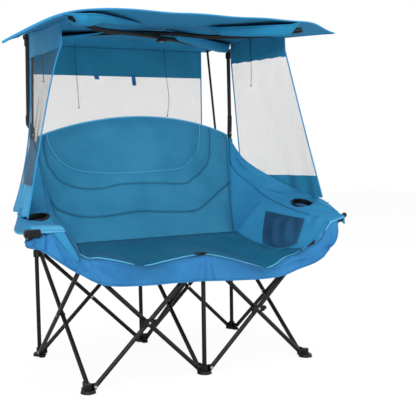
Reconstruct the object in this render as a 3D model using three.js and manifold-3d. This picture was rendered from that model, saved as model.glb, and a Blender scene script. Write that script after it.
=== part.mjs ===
import * as THREE from 'three';
import { mergeVertices } from 'three/addons/utils/BufferGeometryUtils.js';
import Module from 'manifold-3d';

// Folding camping loveseat with a canopy. Millimetres, Z up, X to the right, Y to the back.
// The origin is on the floor, under the middle of the front centre foot. The shapes are laid out
// round the middle of the six feet, and the whole group is then moved back by half the depth.

// Plan and heights of the frame
const postSpacing = 500;
const rowHalfDepth = 300;
const frontPinReach = 24;
const sidePinReach = 36;
const lowPinHeight = 22;
const highPinHeight = 456.5;
const tubeRadius = 9;
const barPlaneOffset = 9.75;
const fitGap = 0.4;
const smallGap = 0.35;
const slotTravel = 58;

// Pins, lugs and brackets
const pinRadius = 3;
const pinSegments = 6;
// Across the flats of the hole, a turning pin keeps the fit gap all round
const pinHoleRadius = (pinRadius + fitGap) / Math.cos(Math.PI / pinSegments);
const rivetHeadRadius = 6;
const rivetHeadThickness = 2;
const rivetHeadSink = 1.6;
const lugThickness = 6;
const lugHalfWidth = 10;
const lugSlotEnd = 7;
const lugRoot = 13;
const sleeveRadius = 14;
const sleeveBelowPin = 16;
const sleeveAbovePin = 14;
const collarTop = 34;

// Feet
const solePlinth = 3;
const soleTopRadius = 26;
const soleBottomRadius = 30;
const soleHeight = 12;
const soleArmHalfWidth = 14;
const socketFloor = 2.5;
const postFoot = 3;
const lugFootZ = 6;

// Plastic hubs at the two front crossings
const hubLength = 74;
const hubHalfWidth = 15;
const hubTabLength = 20;
const hubTabReach = 24;
const hubBackGap = 1.2;
const hubFrontWall = 5;
const hubCornerCut = 8;

// Upright posts
const backPostTop = 1008;
const middleBackPostTop = 690;
const middleFrontPostTop = 480;
const postCapRadius = 9.8;
const postCapHeight = 9;

// Arm tubes
const armRootOut = 8;
const armRootRise = 5.5;
const armTipOut = 212;
const armTipZ = 600;
const armTubeRoot = [postSpacing + armRootOut, -rowHalfDepth, highPinHeight + armRootRise];
const armTubeTip = [postSpacing + armTipOut, -rowHalfDepth, armTipZ];
const armSocketLength = 34;
const armSocketInset = 8;

// Canopy posts, rods and the crossing canopy bars
const couplerRadius = 13;
const couplerBottom = 972;
const couplerTop = 1052;
const couplerSplit = 1012;
const canopyBaseOut = 12;
const canopyBaseBack = 17;
const canopyBaseRise = 4;
const canopyHeadOut = 6;
const canopyHeadBack = 14;
const canopyHeadDrop = 25;
const canopyBarHeight = 1395;
const canopyPostBase = [postSpacing + canopyBaseOut, rowHalfDepth + canopyBaseBack, couplerSplit + canopyBaseRise];
const canopyPostHead = [postSpacing + canopyHeadOut, rowHalfDepth + canopyHeadBack, canopyBarHeight - canopyHeadDrop];
const headCapRadius = 13;
const headCapDepth = 30;
const headCapCover = 8;
const canopyBarDrop = 19.5;
const canopyBarRadius = 9;
const canopyFrontOut = 16;
const canopyFrontBack = 38;
const canopyFrontEnd = [postSpacing + canopyFrontOut, canopyFrontBack - rowHalfDepth];
const canopyRearOverhang = 16;
const endCapRadius = 11;
const endCapLength = 16;
const rodRadius = 5.5;
const rodBaseIn = 13;
const rodBaseBack = 70.3;
const rodBaseZ = 738;
const rodTopIn = 50;
const rodTopBack = 120;
const rodTopDrop = 7;
const rodBase = [postSpacing - rodBaseIn, rowHalfDepth + rodBaseBack, rodBaseZ];
const rodTop = [postSpacing - rodTopIn, rowHalfDepth + rodTopBack, canopyBarHeight - rodTopDrop];
const rodClampBelow = 15;
const rodClampAbove = 30;
const rodClampBottom = rodBaseZ - rodClampBelow;
const rodClampTop = rodBaseZ + rodClampAbove;
const rodClampHalfWidth = 8;
const rodClampRadius = 14;
const rodSocketRadius = 9;
const hubPlateRadius = 24;
const hubPlateThickness = 7;
const hubScrewRadius = 3;
const hubScrewHeadRadius = 8;
const hubScrewHeadThickness = 2;

// Seat, seen from above it is a trapezium whose front edge sags in two lobes
const seatBackHalfWidth = 352;
const seatFrontHalfWidth = 518;
const seatBackY = 33;
const seatFrontInset = 14;
const seatFrontY = seatFrontInset - rowHalfDepth;
const seatFrontNotch = 8;
const seatBackZ = 520;
const seatFrontZ = 478;
const seatCornerRise = 34;
const seatLeftLobe = 40;
const seatRightLobe = 72;
const seatDish = 22;
const seatEdgeThickness = 5;
const seatCrown = 16;

// Backrest
const backLowHalfWidth = 352;
const backTopGap = 3;
const backTopHalfWidth = postSpacing - backTopGap;
const backLowY = 46;
const backTopInset = 38;
const backTopY = rowHalfDepth - backTopInset;
const backTopCurve = 34;
const backLowZ = 510;
const backTopZ = 1050;
const backTopDrop = 88;
const backMiddleLean_share = 0.82;
const backSideLean_share = 0.52;
const backFlare_share = 0.62;
const backSleeveRadius = 15;
const backSleeveBottom = 850;
const backSleeveTop = 966;
const backEdgeThickness = 6;
const backCrown = 16;
const backChannelDepth = 5;
const backChannel_shares = [[0.53, 0.72], [0.4, 0.86], [0.16, 1.02]];
const backChannelWidth_share = 0.035;

// Arm panels: knee, outer edge and hem of the cloth, from the back corner to the front, as shares of
// the spacing of the posts, of half the depth and of the height of the backrest
const armEdgeGap = 0.45;
const armTuckBehind = 10;
const armTuckBelow = 8;
const armCornerTop_share = 0.94;
const armKnee_shares = [[1.042, 0.93, 0.9048], [0.984, 0.8, 0.7829], [1, 0.5, 0.6781],
  [1.06, 0.1333, 0.64], [1.112, -0.2, 0.619], [1.124, -0.6, 0.6019],
  [1.144, -0.9433, 0.5867]];
const armOuter_shares = [[1.05, 0.95, 0.9114], [1.096, 0.8333, 0.8095], [1.176, 0.5333, 0.7352],
  [1.264, 0.1667, 0.6724], [1.344, -0.2, 0.6267], [1.388, -0.6, 0.6095],
  [1.4, -0.9433, 0.5943]];
const armHem_shares = [[1.052, 0.9567, 0.8971], [1.104, 0.8467, 0.7676], [1.184, 0.5467, 0.6724],
  [1.276, 0.1733, 0.6057], [1.36, -0.2, 0.5619], [1.404, -0.6, 0.5448],
  [1.408, -0.9433, 0.539]];
const armThickness = 7;
const armKneeSpan_shares = [0.42, 0.78];

// Cup holders in the arms and the net pocket on the right arm
const ringSpot_shares = [0.6, 0.725];
const ringOuterRadius = 51;
const ringInnerRadius = 40;
const ringLift = 7.4;
const ringBody = 8;
const ringRimRise = 4;
const cupHoleRadius = 47;
const wellRadius = 43;
const wellWall = 2;
const wellDepth = 104;
const wellTopGap = 1;
const pocketOffset = 6.2;
const pocketThickness = 3;
const pocketSpan_shares = [0.64, 0.93];
const pocketRise_shares = [0.1, 0.34];

// Front skirt
const skirtHalfWidth = 672;
const skirtReach = 26;
const skirtY = -skirtReach - rowHalfDepth;
const skirtInset = 10;
const skirtRearY = skirtInset - rowHalfDepth;
const skirtTopSpan_share = 0.24;
const skirtThickness = 3;
const skirtTopLift = 6;
const skirtCrown = 8;
const skirtHemZ = 372;
const skirtHemRise = 186;
const skirtHemStart = 400;
const skirtHemSpan = 330;
const skirtLeftShift = 35;
const skirtRightShift = 25;
const skirtArmInner = 536;
const skirtArmKnee = 576;
const skirtArmKneeZ = 618;
const skirtArmTopZ = 626;
const skirtFold = 5;
const skirtFoldPitch = 150;
const skirtPleat = 8;
const skirtPleatWidth = 60;

// Roof cloth
const roofRearY = 450;
const roofFrontLip = 2;
const roofFrontY = canopyFrontEnd[1] - roofFrontLip;
const roofTipSweep = 74;
const roofTipY = canopyFrontEnd[1] + roofTipSweep;
const roofRearInset = 40;
const roofRearHalfWidth = canopyPostHead[0] - roofRearInset;
const roofPostOverhang = 14;
const roofPostHalfWidth = canopyPostHead[0] + roofPostOverhang;
const roofPostY = canopyPostHead[1];
const roofTipOverhang = 232;
const roofTipHalfWidth = canopyFrontEnd[0] + roofTipOverhang;
const roofWingStart = 24;
const roofCentralHalfWidth = canopyFrontEnd[0] + roofWingStart;
const roofRearDrop = 11;
const roofRearZ = canopyBarHeight - roofRearDrop;
const roofStep = 24.2;
const roofStepSpan = 90;
const roofForwardRise = 18;
const roofRightDroop = 24;
const roofLeftDroop = 128;
const roofThickness = 3;
const roofDroop_share = 1.25;
const roofRow_share = 1.5;
const roofEave_share = 0.75;
const roofEaveInset_share = 0.975;
const roofColumns = 24;
const roofRows = 8;
const seamGap = 0.4;

// Curtains
const curtainThickness = 2.4;
const rearCurtainLeft = 470;
const rearCurtainRight = 426;
const rearCurtainY = 446;
const rearCurtainBottomZ = 730;
const rearCurtainWave = 7;
const rearCurtainWavePitch = 210;
const sideCurtainInset = 8;
const sideCurtainTopX = roofPostHalfWidth - sideCurtainInset;
const sideCurtainFlareFront = 166;
const sideCurtainFlareBack = 56;
const sideCurtainFlare_share = 1.7;
const sideCurtainBottomZ = 674;
const sideCurtainFrontY = -140;
const sideCurtainFrontLean = 52;
const sideCurtainBackY = 296;
const sideCurtainWave = 6;
const sideCurtainWavePitch = 130;

// Tie cords, each a hand-placed route for the left or the rear
const cordRadius = 1.1;
const sideCordRoute = [[505, 117, 1392], [504, 116, 1350], [506, 113, 1300], [505, 110, 1250], [503, 109, 1186]];
const rearLeftCordRoute = [[-250, 418, 1376], [-250, 421, 1340], [-246, 423, 1270], [-240, 424, 1190], [-236, 424, 1100]];
const rearRightCordRoute = [[206, 418, 1376], [211, 421, 1330], [220, 423, 1250], [232, 424, 1150], [222, 424, 1062]];

const tubeSegments = 10;
const roundSegments = 16;
const cordSegments = 8;
const cordSteps = 12;

const wasm = await Module();
wasm.setup();

const steel = { color: 0x17191b, roughness: 0.38, metalness: 0.55 };
const plastic = { color: 0x101112, roughness: 0.5, metalness: 0 };
const cloth = { color: 0x2f7fae, roughness: 0.85, metalness: 0 };
const pocketNet = { color: 0x2a5f80, roughness: 0.9, metalness: 0 };
const net = { color: 0xd9dcde, roughness: 0.9, metalness: 0 };
const cordInk = { color: 0x0d0e10, roughness: 0.8, metalness: 0 };

const group = new THREE.Group();
group.name = 'camping_loveseat';
group.position.set(0, rowHalfDepth, 0);

function toSolid(geometry) {
  const bare = geometry.index ? geometry.toNonIndexed() : geometry.clone();
  bare.deleteAttribute('normal');
  bare.deleteAttribute('uv');
  const welded = mergeVertices(bare, tubeRadius * 1e-6);
  return new wasm.Manifold(new wasm.Mesh({
    numProp: 3,
    vertProperties: Float32Array.from(welded.attributes.position.array),
    triVerts: Uint32Array.from(welded.index.array),
  }));
}

function toGeometry(solid) {
  const mesh = solid.getMesh();
  const geometry = new THREE.BufferGeometry();
  geometry.setAttribute('position', new THREE.BufferAttribute(Float32Array.from(mesh.vertProperties), 3));
  geometry.setIndex(new THREE.BufferAttribute(Uint32Array.from(mesh.triVerts), 1));
  return geometry;
}

function addNode(name, geometry, finish) {
  geometry.computeVertexNormals();
  const mesh = new THREE.Mesh(geometry, new THREE.MeshStandardMaterial(finish));
  mesh.name = name;
  group.add(mesh);
}

function join(solids) {
  return solids.reduce((sum, next) => sum.add(next));
}

function cut(solid, tools) {
  return tools.reduce((rest, tool) => rest.subtract(tool), solid);
}

// A cylinder from one point to another, with its own radius at each end
function rodBetween(from, to, radius, segments = tubeSegments, endRadius = radius) {
  const start = new THREE.Vector3(...from);
  const along = new THREE.Vector3(...to).sub(start);
  const geometry = new THREE.CylinderGeometry(endRadius, radius, along.length(), segments, 1);
  geometry.translate(0, along.length() / 2, 0);
  const turn = new THREE.Quaternion().setFromUnitVectors(new THREE.Vector3(0, 1, 0), along.clone().normalize());
  geometry.applyQuaternion(turn);
  geometry.translate(start.x, start.y, start.z);
  return toSolid(geometry);
}

function boxBetween(low, high) {
  const size = high.map((value, axis) => value - low[axis]);
  const geometry = new THREE.BoxGeometry(...size);
  geometry.translate(...low.map((value, axis) => value + size[axis] / 2));
  return toSolid(geometry);
}

// A tube with half-round ends centred on its two end points
function roundedTube(from, to, radius) {
  const start = new THREE.Vector3(...from);
  const along = new THREE.Vector3(...to).sub(start);
  const length = along.length();
  const profile = [new THREE.Vector2(0, -radius)];
  const arcSteps = 2;
  for (let step = 1; step <= arcSteps; step += 1) {
    const angle = (Math.PI / 2) * (step / arcSteps - 1);
    profile.push(new THREE.Vector2(radius * Math.cos(angle), radius * Math.sin(angle)));
  }
  for (let step = 0; step < arcSteps; step += 1) {
    const angle = (Math.PI / 2) * (step / arcSteps);
    profile.push(new THREE.Vector2(radius * Math.cos(angle), length + radius * Math.sin(angle)));
  }
  profile.push(new THREE.Vector2(0, length + radius));
  const geometry = new THREE.LatheGeometry(profile, tubeSegments);
  const turn = new THREE.Quaternion().setFromUnitVectors(new THREE.Vector3(0, 1, 0), along.normalize());
  geometry.applyQuaternion(turn);
  geometry.translate(start.x, start.y, start.z);
  return toSolid(geometry);
}

// A closed sheet of the given thickness along a surface at(u, v)
function sheetGeometry(at, columns, rows, thicknessAt) {
  const positions = [];
  const faces = [];
  const step = 1e-3;
  const point = (u, v) => new THREE.Vector3(...at(u, v));
  const normalAt = (u, v) => {
    const du = point(Math.min(u + step, 1), v).sub(point(Math.max(u - step, 0), v));
    const dv = point(u, Math.min(v + step, 1)).sub(point(u, Math.max(v - step, 0)));
    return du.cross(dv).normalize();
  };
  for (const side of [1, -1]) {
    for (let row = 0; row <= rows; row += 1) {
      for (let column = 0; column <= columns; column += 1) {
        const u = column / columns;
        const v = row / rows;
        const shift = normalAt(u, v).multiplyScalar((side * thicknessAt(u, v)) / 2);
        positions.push(...point(u, v).add(shift).toArray());
      }
    }
  }
  const layer = (columns + 1) * (rows + 1);
  const id = (column, row, back) => back * layer + row * (columns + 1) + column;
  for (let row = 0; row < rows; row += 1) {
    for (let column = 0; column < columns; column += 1) {
      const corners = [[column, row], [column + 1, row], [column + 1, row + 1], [column, row + 1]];
      const front = corners.map(([c, r]) => id(c, r, 0));
      const back = corners.map(([c, r]) => id(c, r, 1));
      faces.push(front[0], front[1], front[2], front[0], front[2], front[3]);
      faces.push(back[0], back[2], back[1], back[0], back[3], back[2]);
    }
  }
  const border = [];
  for (let column = 0; column < columns; column += 1) border.push([column, 0]);
  for (let row = 0; row < rows; row += 1) border.push([columns, row]);
  for (let column = columns; column > 0; column -= 1) border.push([column, rows]);
  for (let row = rows; row > 0; row -= 1) border.push([0, row]);
  border.forEach(([c, r], index) => {
    const [nextC, nextR] = border[(index + 1) % border.length];
    const a = id(c, r, 0);
    const b = id(nextC, nextR, 0);
    const backA = id(c, r, 1);
    const backB = id(nextC, nextR, 1);
    faces.push(a, backA, backB, a, backB, b);
  });
  const geometry = new THREE.BufferGeometry();
  geometry.setAttribute('position', new THREE.BufferAttribute(Float32Array.from(positions), 3));
  geometry.setIndex(faces);
  return geometry;
}

// The same sheet with its faces turned outward
function outwardSheet(at, columns, rows, thicknessAt) {
  const geometry = sheetGeometry(at, columns, rows, thicknessAt);
  const index = geometry.index.array;
  const position = geometry.attributes.position;
  const a = new THREE.Vector3();
  const b = new THREE.Vector3();
  const c = new THREE.Vector3();
  let volume = 0;
  for (let face = 0; face < index.length; face += 3) {
    a.fromBufferAttribute(position, index[face]);
    b.fromBufferAttribute(position, index[face + 1]);
    c.fromBufferAttribute(position, index[face + 2]);
    volume += a.dot(b.cross(c));
  }
  if (volume < 0) {
    for (let face = 0; face < index.length; face += 3) {
      [index[face + 1], index[face + 2]] = [index[face + 2], index[face + 1]];
    }
  }
  return geometry;
}

const mix = (from, to, share) => from + (to - from) * share;
const clamp01 = (value) => Math.min(Math.max(value, 0), 1);
const smooth = (value) => clamp01(value) ** 2 * (3 - 2 * clamp01(value));

// A pin across a bar end: a rivet head outside and a shank through the lug
function barPin(centre, normal, side) {
  const at = (distance) => centre.map((value, axis) => value + normal[axis] * side * distance);
  const lugBack = lugThickness - smallGap;
  const outside = barPlaneOffset + tubeRadius;
  const shank = rodBetween(at(outside - rivetHeadSink), at(-lugBack - rivetHeadSink), pinRadius, pinSegments);
  const head = rodBetween(at(outside - rivetHeadSink), at(outside + rivetHeadThickness - smallGap),
    rivetHeadRadius, pinSegments);
  return shank.add(head);
}

// A rivet at the crossing, carried by one bar and passing through its partner
function crossingPin(centre, normal, side) {
  const at = (distance) => centre.map((value, axis) => value + normal[axis] * side * distance);
  const outside = barPlaneOffset + tubeRadius;
  const shank = rodBetween(at(outside - rivetHeadSink), at(-outside - fitGap - rivetHeadThickness / 2),
    pinRadius, pinSegments);
  const ownHead = rodBetween(at(outside - rivetHeadSink), at(outside + rivetHeadThickness - smallGap),
    rivetHeadRadius, pinSegments);
  const farHead = rodBetween(at(-outside - fitGap), at(-outside - fitGap - rivetHeadThickness),
    rivetHeadRadius, pinSegments);
  return join([shank, ownHead, farHead]);
}

function crossingHole(centre, normal) {
  const reach = 2 * (barPlaneOffset + tubeRadius);
  const at = (distance) => centre.map((value, axis) => value + normal[axis] * distance);
  return rodBetween(at(-reach), at(reach), pinHoleRadius, pinSegments);
}

// One diagonal bar. low and high are the pin points in the plane of the posts.
function addBar(name, low, high, normal, side, carriesRivet) {
  const offset = normal.map((value) => value * side * barPlaneOffset);
  const shifted = (point) => point.map((value, axis) => value + offset[axis]);
  const middle = low.map((value, axis) => (value + high[axis]) / 2);
  let bar = roundedTube(shifted(low), shifted(high), tubeRadius);
  bar = join([bar, barPin(low, normal, side), barPin(high, normal, side)]);
  if (carriesRivet) {
    bar = bar.add(crossingPin(middle, normal, side));
  } else {
    bar = bar.subtract(crossingHole(middle, normal));
  }
  addNode(name, toGeometry(bar), steel);
}

const acrossX = [0, 1, 0];
const acrossY = [1, 0, 0];

function addRowBar(name, rowSign, fromColumn, toColumn, side, carriesRivet) {
  const lean = Math.sign(toColumn - fromColumn);
  const y = rowSign * rowHalfDepth;
  const low = [fromColumn * postSpacing + lean * frontPinReach, y, lowPinHeight];
  const high = [toColumn * postSpacing - lean * frontPinReach, y, highPinHeight];
  addBar(name, low, high, acrossX, side, carriesRivet);
}

function addSideBar(name, column, fromRow, side, carriesRivet) {
  const reach = rowHalfDepth - sidePinReach;
  const x = column * postSpacing;
  const low = [x, fromRow * reach, lowPinHeight];
  const high = [x, -fromRow * reach, highPinHeight];
  addBar(name, low, high, acrossY, side, carriesRivet);
}

function addAllBars() {
  addRowBar('bar_front_left_to_middle', -1, -1, 0, -1, true);
  addRowBar('bar_front_middle_to_left', -1, 0, -1, 1, false);
  addRowBar('bar_front_middle_to_right', -1, 0, 1, -1, true);
  addRowBar('bar_front_right_to_middle', -1, 1, 0, 1, false);
  addRowBar('bar_back_left_to_middle', 1, -1, 0, 1, true);
  addRowBar('bar_back_middle_to_left', 1, 0, -1, -1, false);
  addRowBar('bar_back_middle_to_right', 1, 0, 1, -1, false);
  addRowBar('bar_back_right_to_middle', 1, 1, 0, 1, true);
  addSideBar('bar_left_back_to_front', -1, 1, -1, true);
  addSideBar('bar_left_front_to_back', -1, -1, 1, false);
  addSideBar('bar_right_back_to_front', 1, 1, 1, true);
  addSideBar('bar_right_front_to_back', 1, -1, -1, false);
  addSideBar('bar_middle_back_to_front', 0, 1, 1, true);
  addSideBar('bar_middle_front_to_back', 0, -1, -1, false);
}

// A lug plate beside a bar end. axis 0 reaches along X, axis 1 along Y.
function lugPlate(post, axis, direction, side, bottomZ, topZ) {
  const reach = axis === 0 ? frontPinReach : sidePinReach;
  const near = side * smallGap;
  const far = side * (smallGap - lugThickness);
  const low = [0, 0, bottomZ];
  const high = [0, 0, topZ];
  const inner = direction * (lugRoot - 1);
  const outer = direction * (reach + lugHalfWidth);
  low[axis] = post[axis] + Math.min(inner, outer);
  high[axis] = post[axis] + Math.max(inner, outer);
  low[1 - axis] = post[1 - axis] + Math.min(near, far);
  high[1 - axis] = post[1 - axis] + Math.max(near, far);
  return boxBetween(low, high);
}

// The hole for a bar pin, drawn out into a slot when the pin has to travel
function lugHole(post, axis, direction, side, fromZ, toZ) {
  const reach = axis === 0 ? frontPinReach : sidePinReach;
  const radius = pinHoleRadius;
  const depth = lugThickness + tubeRadius;
  const ends = [-depth, depth].map((distance) => {
    const point = [post[0], post[1], fromZ];
    point[axis] += direction * reach;
    point[1 - axis] += side * (smallGap - lugThickness / 2) + distance;
    return point;
  });
  const lift = (point, z) => [point[0], point[1], z];
  const hole = rodBetween(ends[0], ends[1], radius, pinSegments);
  if (toZ === fromZ) return hole;
  const farHole = rodBetween(lift(ends[0], toZ), lift(ends[1], toZ), radius, pinSegments);
  const low = [0, 1].map((k) => Math.min(ends[0][k], ends[1][k]) - (k === axis ? radius : 0));
  const high = [0, 1].map((k) => Math.max(ends[0][k], ends[1][k]) + (k === axis ? radius : 0));
  const run = boxBetween([...low, Math.min(fromZ, toZ)], [...high, Math.max(fromZ, toZ)]);
  return join([hole, farHole, run]);
}

// A foot: flared sole, a socket or boss for the post and a lug for each bar end
function addFoot(name, column, rowSign, rowLugs, sideLug, hasPost) {
  const post = [column * postSpacing, rowSign * rowHalfDepth];
  const inward = -rowSign;
  const pieces = [
    rodBetween([...post, 0], [...post, soleHeight], soleBottomRadius, roundSegments, soleTopRadius),
    rodBetween([...post, solePlinth], [...post, collarTop], sleeveRadius, roundSegments),
  ];
  const armEnd = post[1] + inward * sidePinReach;
  pieces.push(boxBetween(
    [post[0] - soleArmHalfWidth, Math.min(post[1], armEnd), 0],
    [post[0] + soleArmHalfWidth, Math.max(post[1], armEnd), soleHeight - solePlinth],
  ));
  pieces.push(rodBetween([post[0], armEnd, 0], [post[0], armEnd, soleHeight - solePlinth],
    soleArmHalfWidth, roundSegments));
  const lugTop = lowPinHeight + lugHalfWidth;
  rowLugs.forEach(([direction, side]) => {
    pieces.push(lugPlate(post, 0, direction, side, lugFootZ, lugTop));
  });
  pieces.push(lugPlate(post, 1, inward, sideLug, lugFootZ, lugTop));
  const holes = rowLugs.map(([direction, side]) => (
    lugHole(post, 0, direction, side, lowPinHeight, lowPinHeight)));
  holes.push(lugHole(post, 1, inward, sideLug, lowPinHeight, lowPinHeight));
  rowLugs.forEach(([direction, side]) => {
    holes.push(endRelief([post[0] + direction * frontPinReach, post[1] + side * barPlaneOffset]));
  });
  holes.push(endRelief([post[0] + sideLug * barPlaneOffset, armEnd]));
  if (hasPost) holes.push(rodBetween([...post, socketFloor], [...post, collarTop + soleHeight], tubeRadius + fitGap));
  addNode(name, toGeometry(cut(join(pieces), holes)), plastic);
}

// A round relief in the sole under a bar end
function endRelief(centre) {
  const radius = tubeRadius + fitGap;
  return roundedTube([...centre, lowPinHeight], [...centre, lowPinHeight + radius], radius);
}

function addFeet() {
  addFoot('foot_back_left', -1, 1, [[1, 1]], -1, true);
  addFoot('foot_front_left', -1, -1, [[1, -1]], 1, false);
  addFoot('foot_back_middle', 0, 1, [[-1, -1], [1, -1]], 1, true);
  addFoot('foot_front_middle', 0, -1, [[-1, 1], [1, -1]], -1, true);
  addFoot('foot_back_right', 1, 1, [[-1, 1]], 1, true);
  addFoot('foot_front_right', 1, -1, [[-1, 1]], -1, false);
}

// The start of an arm tube socket, inside the bracket
function armDirection(sign) {
  const root = new THREE.Vector3(sign * armTubeRoot[0], armTubeRoot[1], armTubeRoot[2]);
  const tip = new THREE.Vector3(sign * armTubeTip[0], armTubeTip[1], armTubeTip[2]);
  return { root, tip, along: tip.clone().sub(root).normalize() };
}

// A bracket round the top of a post
function addBracket(name, column, rowSign, rowLugs, sideLug, hasPost, armSign) {
  const post = [column * postSpacing, rowSign * rowHalfDepth];
  const inward = -rowSign;
  const front = rowSign < 0;
  const sleeveLow = highPinHeight - sleeveBelowPin;
  const sleeveHigh = highPinHeight + sleeveAbovePin;
  const slotLow = front ? highPinHeight - slotTravel : highPinHeight;
  const slotHigh = front ? highPinHeight : highPinHeight + slotTravel;
  const pieces = [rodBetween([...post, sleeveLow], [...post, sleeveHigh], sleeveRadius, roundSegments)];
  const holes = [];
  rowLugs.forEach(([direction, side]) => {
    const bottom = front ? slotLow - lugSlotEnd : highPinHeight - lugHalfWidth;
    pieces.push(lugPlate(post, 0, direction, side, bottom, highPinHeight + lugHalfWidth));
    holes.push(lugHole(post, 0, direction, side, front ? slotLow : highPinHeight, highPinHeight));
  });
  const sideTop = (front ? highPinHeight : slotHigh) + lugHalfWidth;
  pieces.push(lugPlate(post, 1, inward, sideLug, highPinHeight - lugHalfWidth, sideTop));
  holes.push(lugHole(post, 1, inward, sideLug, highPinHeight, front ? highPinHeight : slotHigh));
  if (armSign) {
    const { root, along } = armDirection(armSign);
    const socketEnd = root.clone().addScaledVector(along, armSocketLength);
    const hollowStart = root.clone().addScaledVector(along, armSocketInset - smallGap);
    const hollowEnd = root.clone().addScaledVector(along, 2 * armSocketLength);
    pieces.push(rodBetween(root.toArray(), socketEnd.toArray(), couplerRadius, roundSegments));
    holes.push(rodBetween(hollowStart.toArray(), hollowEnd.toArray(), tubeRadius + fitGap));
  }
  if (hasPost) {
    holes.push(rodBetween([...post, sleeveLow - sleeveBelowPin], [...post, sleeveHigh + sleeveAbovePin],
      tubeRadius + fitGap));
  }
  addNode(name, toGeometry(cut(join(pieces), holes)), plastic);
}

function addBrackets() {
  addBracket('bracket_front_left', -1, -1, [[1, 1]], -1, false, -1);
  addBracket('bracket_front_middle', 0, -1, [[-1, -1], [1, 1]], 1, true, 0);
  addBracket('bracket_front_right', 1, -1, [[-1, -1]], 1, false, 1);
  addBracket('bracket_back_left', -1, 1, [[1, -1]], 1, true, 0);
  addBracket('bracket_back_middle', 0, 1, [[-1, 1], [1, 1]], -1, true, 0);
  addBracket('bracket_back_right', 1, 1, [[-1, -1]], -1, true, 0);
}

// The plastic hub over the front bar at each front crossing
function addHub(name, sign) {
  const span = postSpacing - 2 * frontPinReach;
  const angle = Math.atan2(highPinHeight - lowPinHeight, span);
  const centre = [sign * postSpacing / 2, -rowHalfDepth - barPlaneOffset, (lowPinHeight + highPinHeight) / 2];
  const shape = new THREE.Shape();
  const half = hubLength / 2;
  const outline = [[half, hubHalfWidth - hubCornerCut], [half - hubCornerCut, hubHalfWidth],
    [hubTabLength, hubHalfWidth], [hubTabLength - hubCornerCut, hubTabReach]];
  const corners = [...outline, ...outline.map(([x, y]) => [-x, y]).reverse()];
  const ring = [...corners, ...corners.map(([x, y]) => [x, -y]).reverse()];
  shape.setFromPoints(ring.map(([x, y]) => new THREE.Vector2(x, y)));
  const depth = tubeRadius + hubFrontWall + tubeRadius - hubBackGap;
  const geometry = new THREE.ExtrudeGeometry(shape, { depth, bevelEnabled: false });
  geometry.rotateX(Math.PI / 2);
  geometry.rotateY(-angle);
  geometry.translate(centre[0], centre[1] + tubeRadius - hubBackGap, centre[2]);
  const reach = [Math.cos(angle) * hubLength, Math.sin(angle) * hubLength];
  const channel = rodBetween(
    [centre[0] - reach[0], centre[1], centre[2] - reach[1]],
    [centre[0] + reach[0], centre[1], centre[2] + reach[1]],
    tubeRadius + fitGap,
  );
  const slit = boxBetween([-hubLength, 0, -tubeRadius - fitGap], [hubLength, 2 * tubeRadius, tubeRadius + fitGap]);
  const openSide = slit.rotate([0, -THREE.MathUtils.radToDeg(angle), 0]).translate(centre);
  const headClear = rodBetween(
    [centre[0], centre[1] - tubeRadius - rivetHeadThickness - smallGap, centre[2]],
    centre,
    rivetHeadRadius + fitGap,
    pinSegments,
  );
  const body = cut(toSolid(geometry), [channel, openSide, headClear]);
  addNode(name, toGeometry(body), plastic);
}

function addPosts() {
  const columns = [['left', -1, backPostTop], ['middle', 0, middleBackPostTop], ['right', 1, backPostTop]];
  columns.forEach(([side, column, top]) => {
    const x = column * postSpacing;
    const shaft = rodBetween([x, rowHalfDepth, postFoot], [x, rowHalfDepth, top], tubeRadius);
    addNode(`post_back_${side}`, toGeometry(column === 0 ? shaft : shaft.add(rodClamp(column))), steel);
  });
  const shaft = rodBetween([0, -rowHalfDepth, postFoot], [0, -rowHalfDepth, middleFrontPostTop], tubeRadius);
  const cap = rodBetween([0, -rowHalfDepth, highPinHeight + sleeveAbovePin + smallGap],
    [0, -rowHalfDepth, middleFrontPostTop + postCapHeight / 2], postCapRadius, roundSegments);
  addNode('post_front_middle', toGeometry(shaft.add(cap)), steel);
}

function addArmTube(name, sign) {
  const { root, tip, along } = armDirection(sign);
  const start = root.clone().addScaledVector(along, armSocketInset).toArray();
  const capStart = tip.clone().addScaledVector(along, -endCapLength).toArray();
  const shaft = rodBetween(start, tip.toArray(), tubeRadius);
  const grip = roundedTube(capStart, tip.toArray(), endCapRadius);
  addNode(name, toGeometry(shaft.add(grip)), steel);
}

// The coupler steps from the back post to the canopy post
function addCoupler(name, sign) {
  const post = [sign * postSpacing, rowHalfDepth];
  const upper = [sign * canopyPostBase[0], canopyPostBase[1]];
  const head = [sign * canopyPostHead[0], canopyPostHead[1], canopyPostHead[2]];
  const base = [...upper, canopyPostBase[2] - fitGap];
  const body = join([
    rodBetween([...post, couplerBottom], [...post, couplerSplit + couplerRadius], couplerRadius, roundSegments),
    rodBetween([...upper, couplerSplit - couplerRadius], [...upper, couplerTop], couplerRadius, roundSegments),
  ]);
  const holes = [
    rodBetween([...post, couplerBottom - couplerRadius], [...post, backPostTop + fitGap], tubeRadius + fitGap),
    rodBetween(base, head, tubeRadius + fitGap),
  ];
  addNode(name, toGeometry(cut(body, holes)), plastic);
}

function canopyLevel(sign) {
  return sign < 0 ? canopyBarHeight : canopyBarHeight - canopyBarDrop;
}

function canopyPostTop(sign) {
  return canopyLevel(sign) - canopyBarRadius - fitGap - headCapCover;
}

// A canopy post with the plastic head on which a canopy bar turns
function addCanopyPost(name, sign) {
  const base = [sign * canopyPostBase[0], canopyPostBase[1], canopyPostBase[2]];
  const x = sign * canopyPostHead[0];
  const y = canopyPostHead[1];
  const level = canopyLevel(sign);
  const seatZ = level - canopyBarRadius - fitGap;
  const solids = [
    rodBetween(base, [x, y, canopyPostTop(sign)], tubeRadius),
    rodBetween([x, y, seatZ - headCapDepth], [x, y, seatZ], headCapRadius, roundSegments),
  ];
  const pin = canopyRivet(x, y, seatZ - fitGap, level);
  addNode(name, toGeometry(join(sign < 0 ? [...solids, ...pin] : solids)), steel);
}

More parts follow.
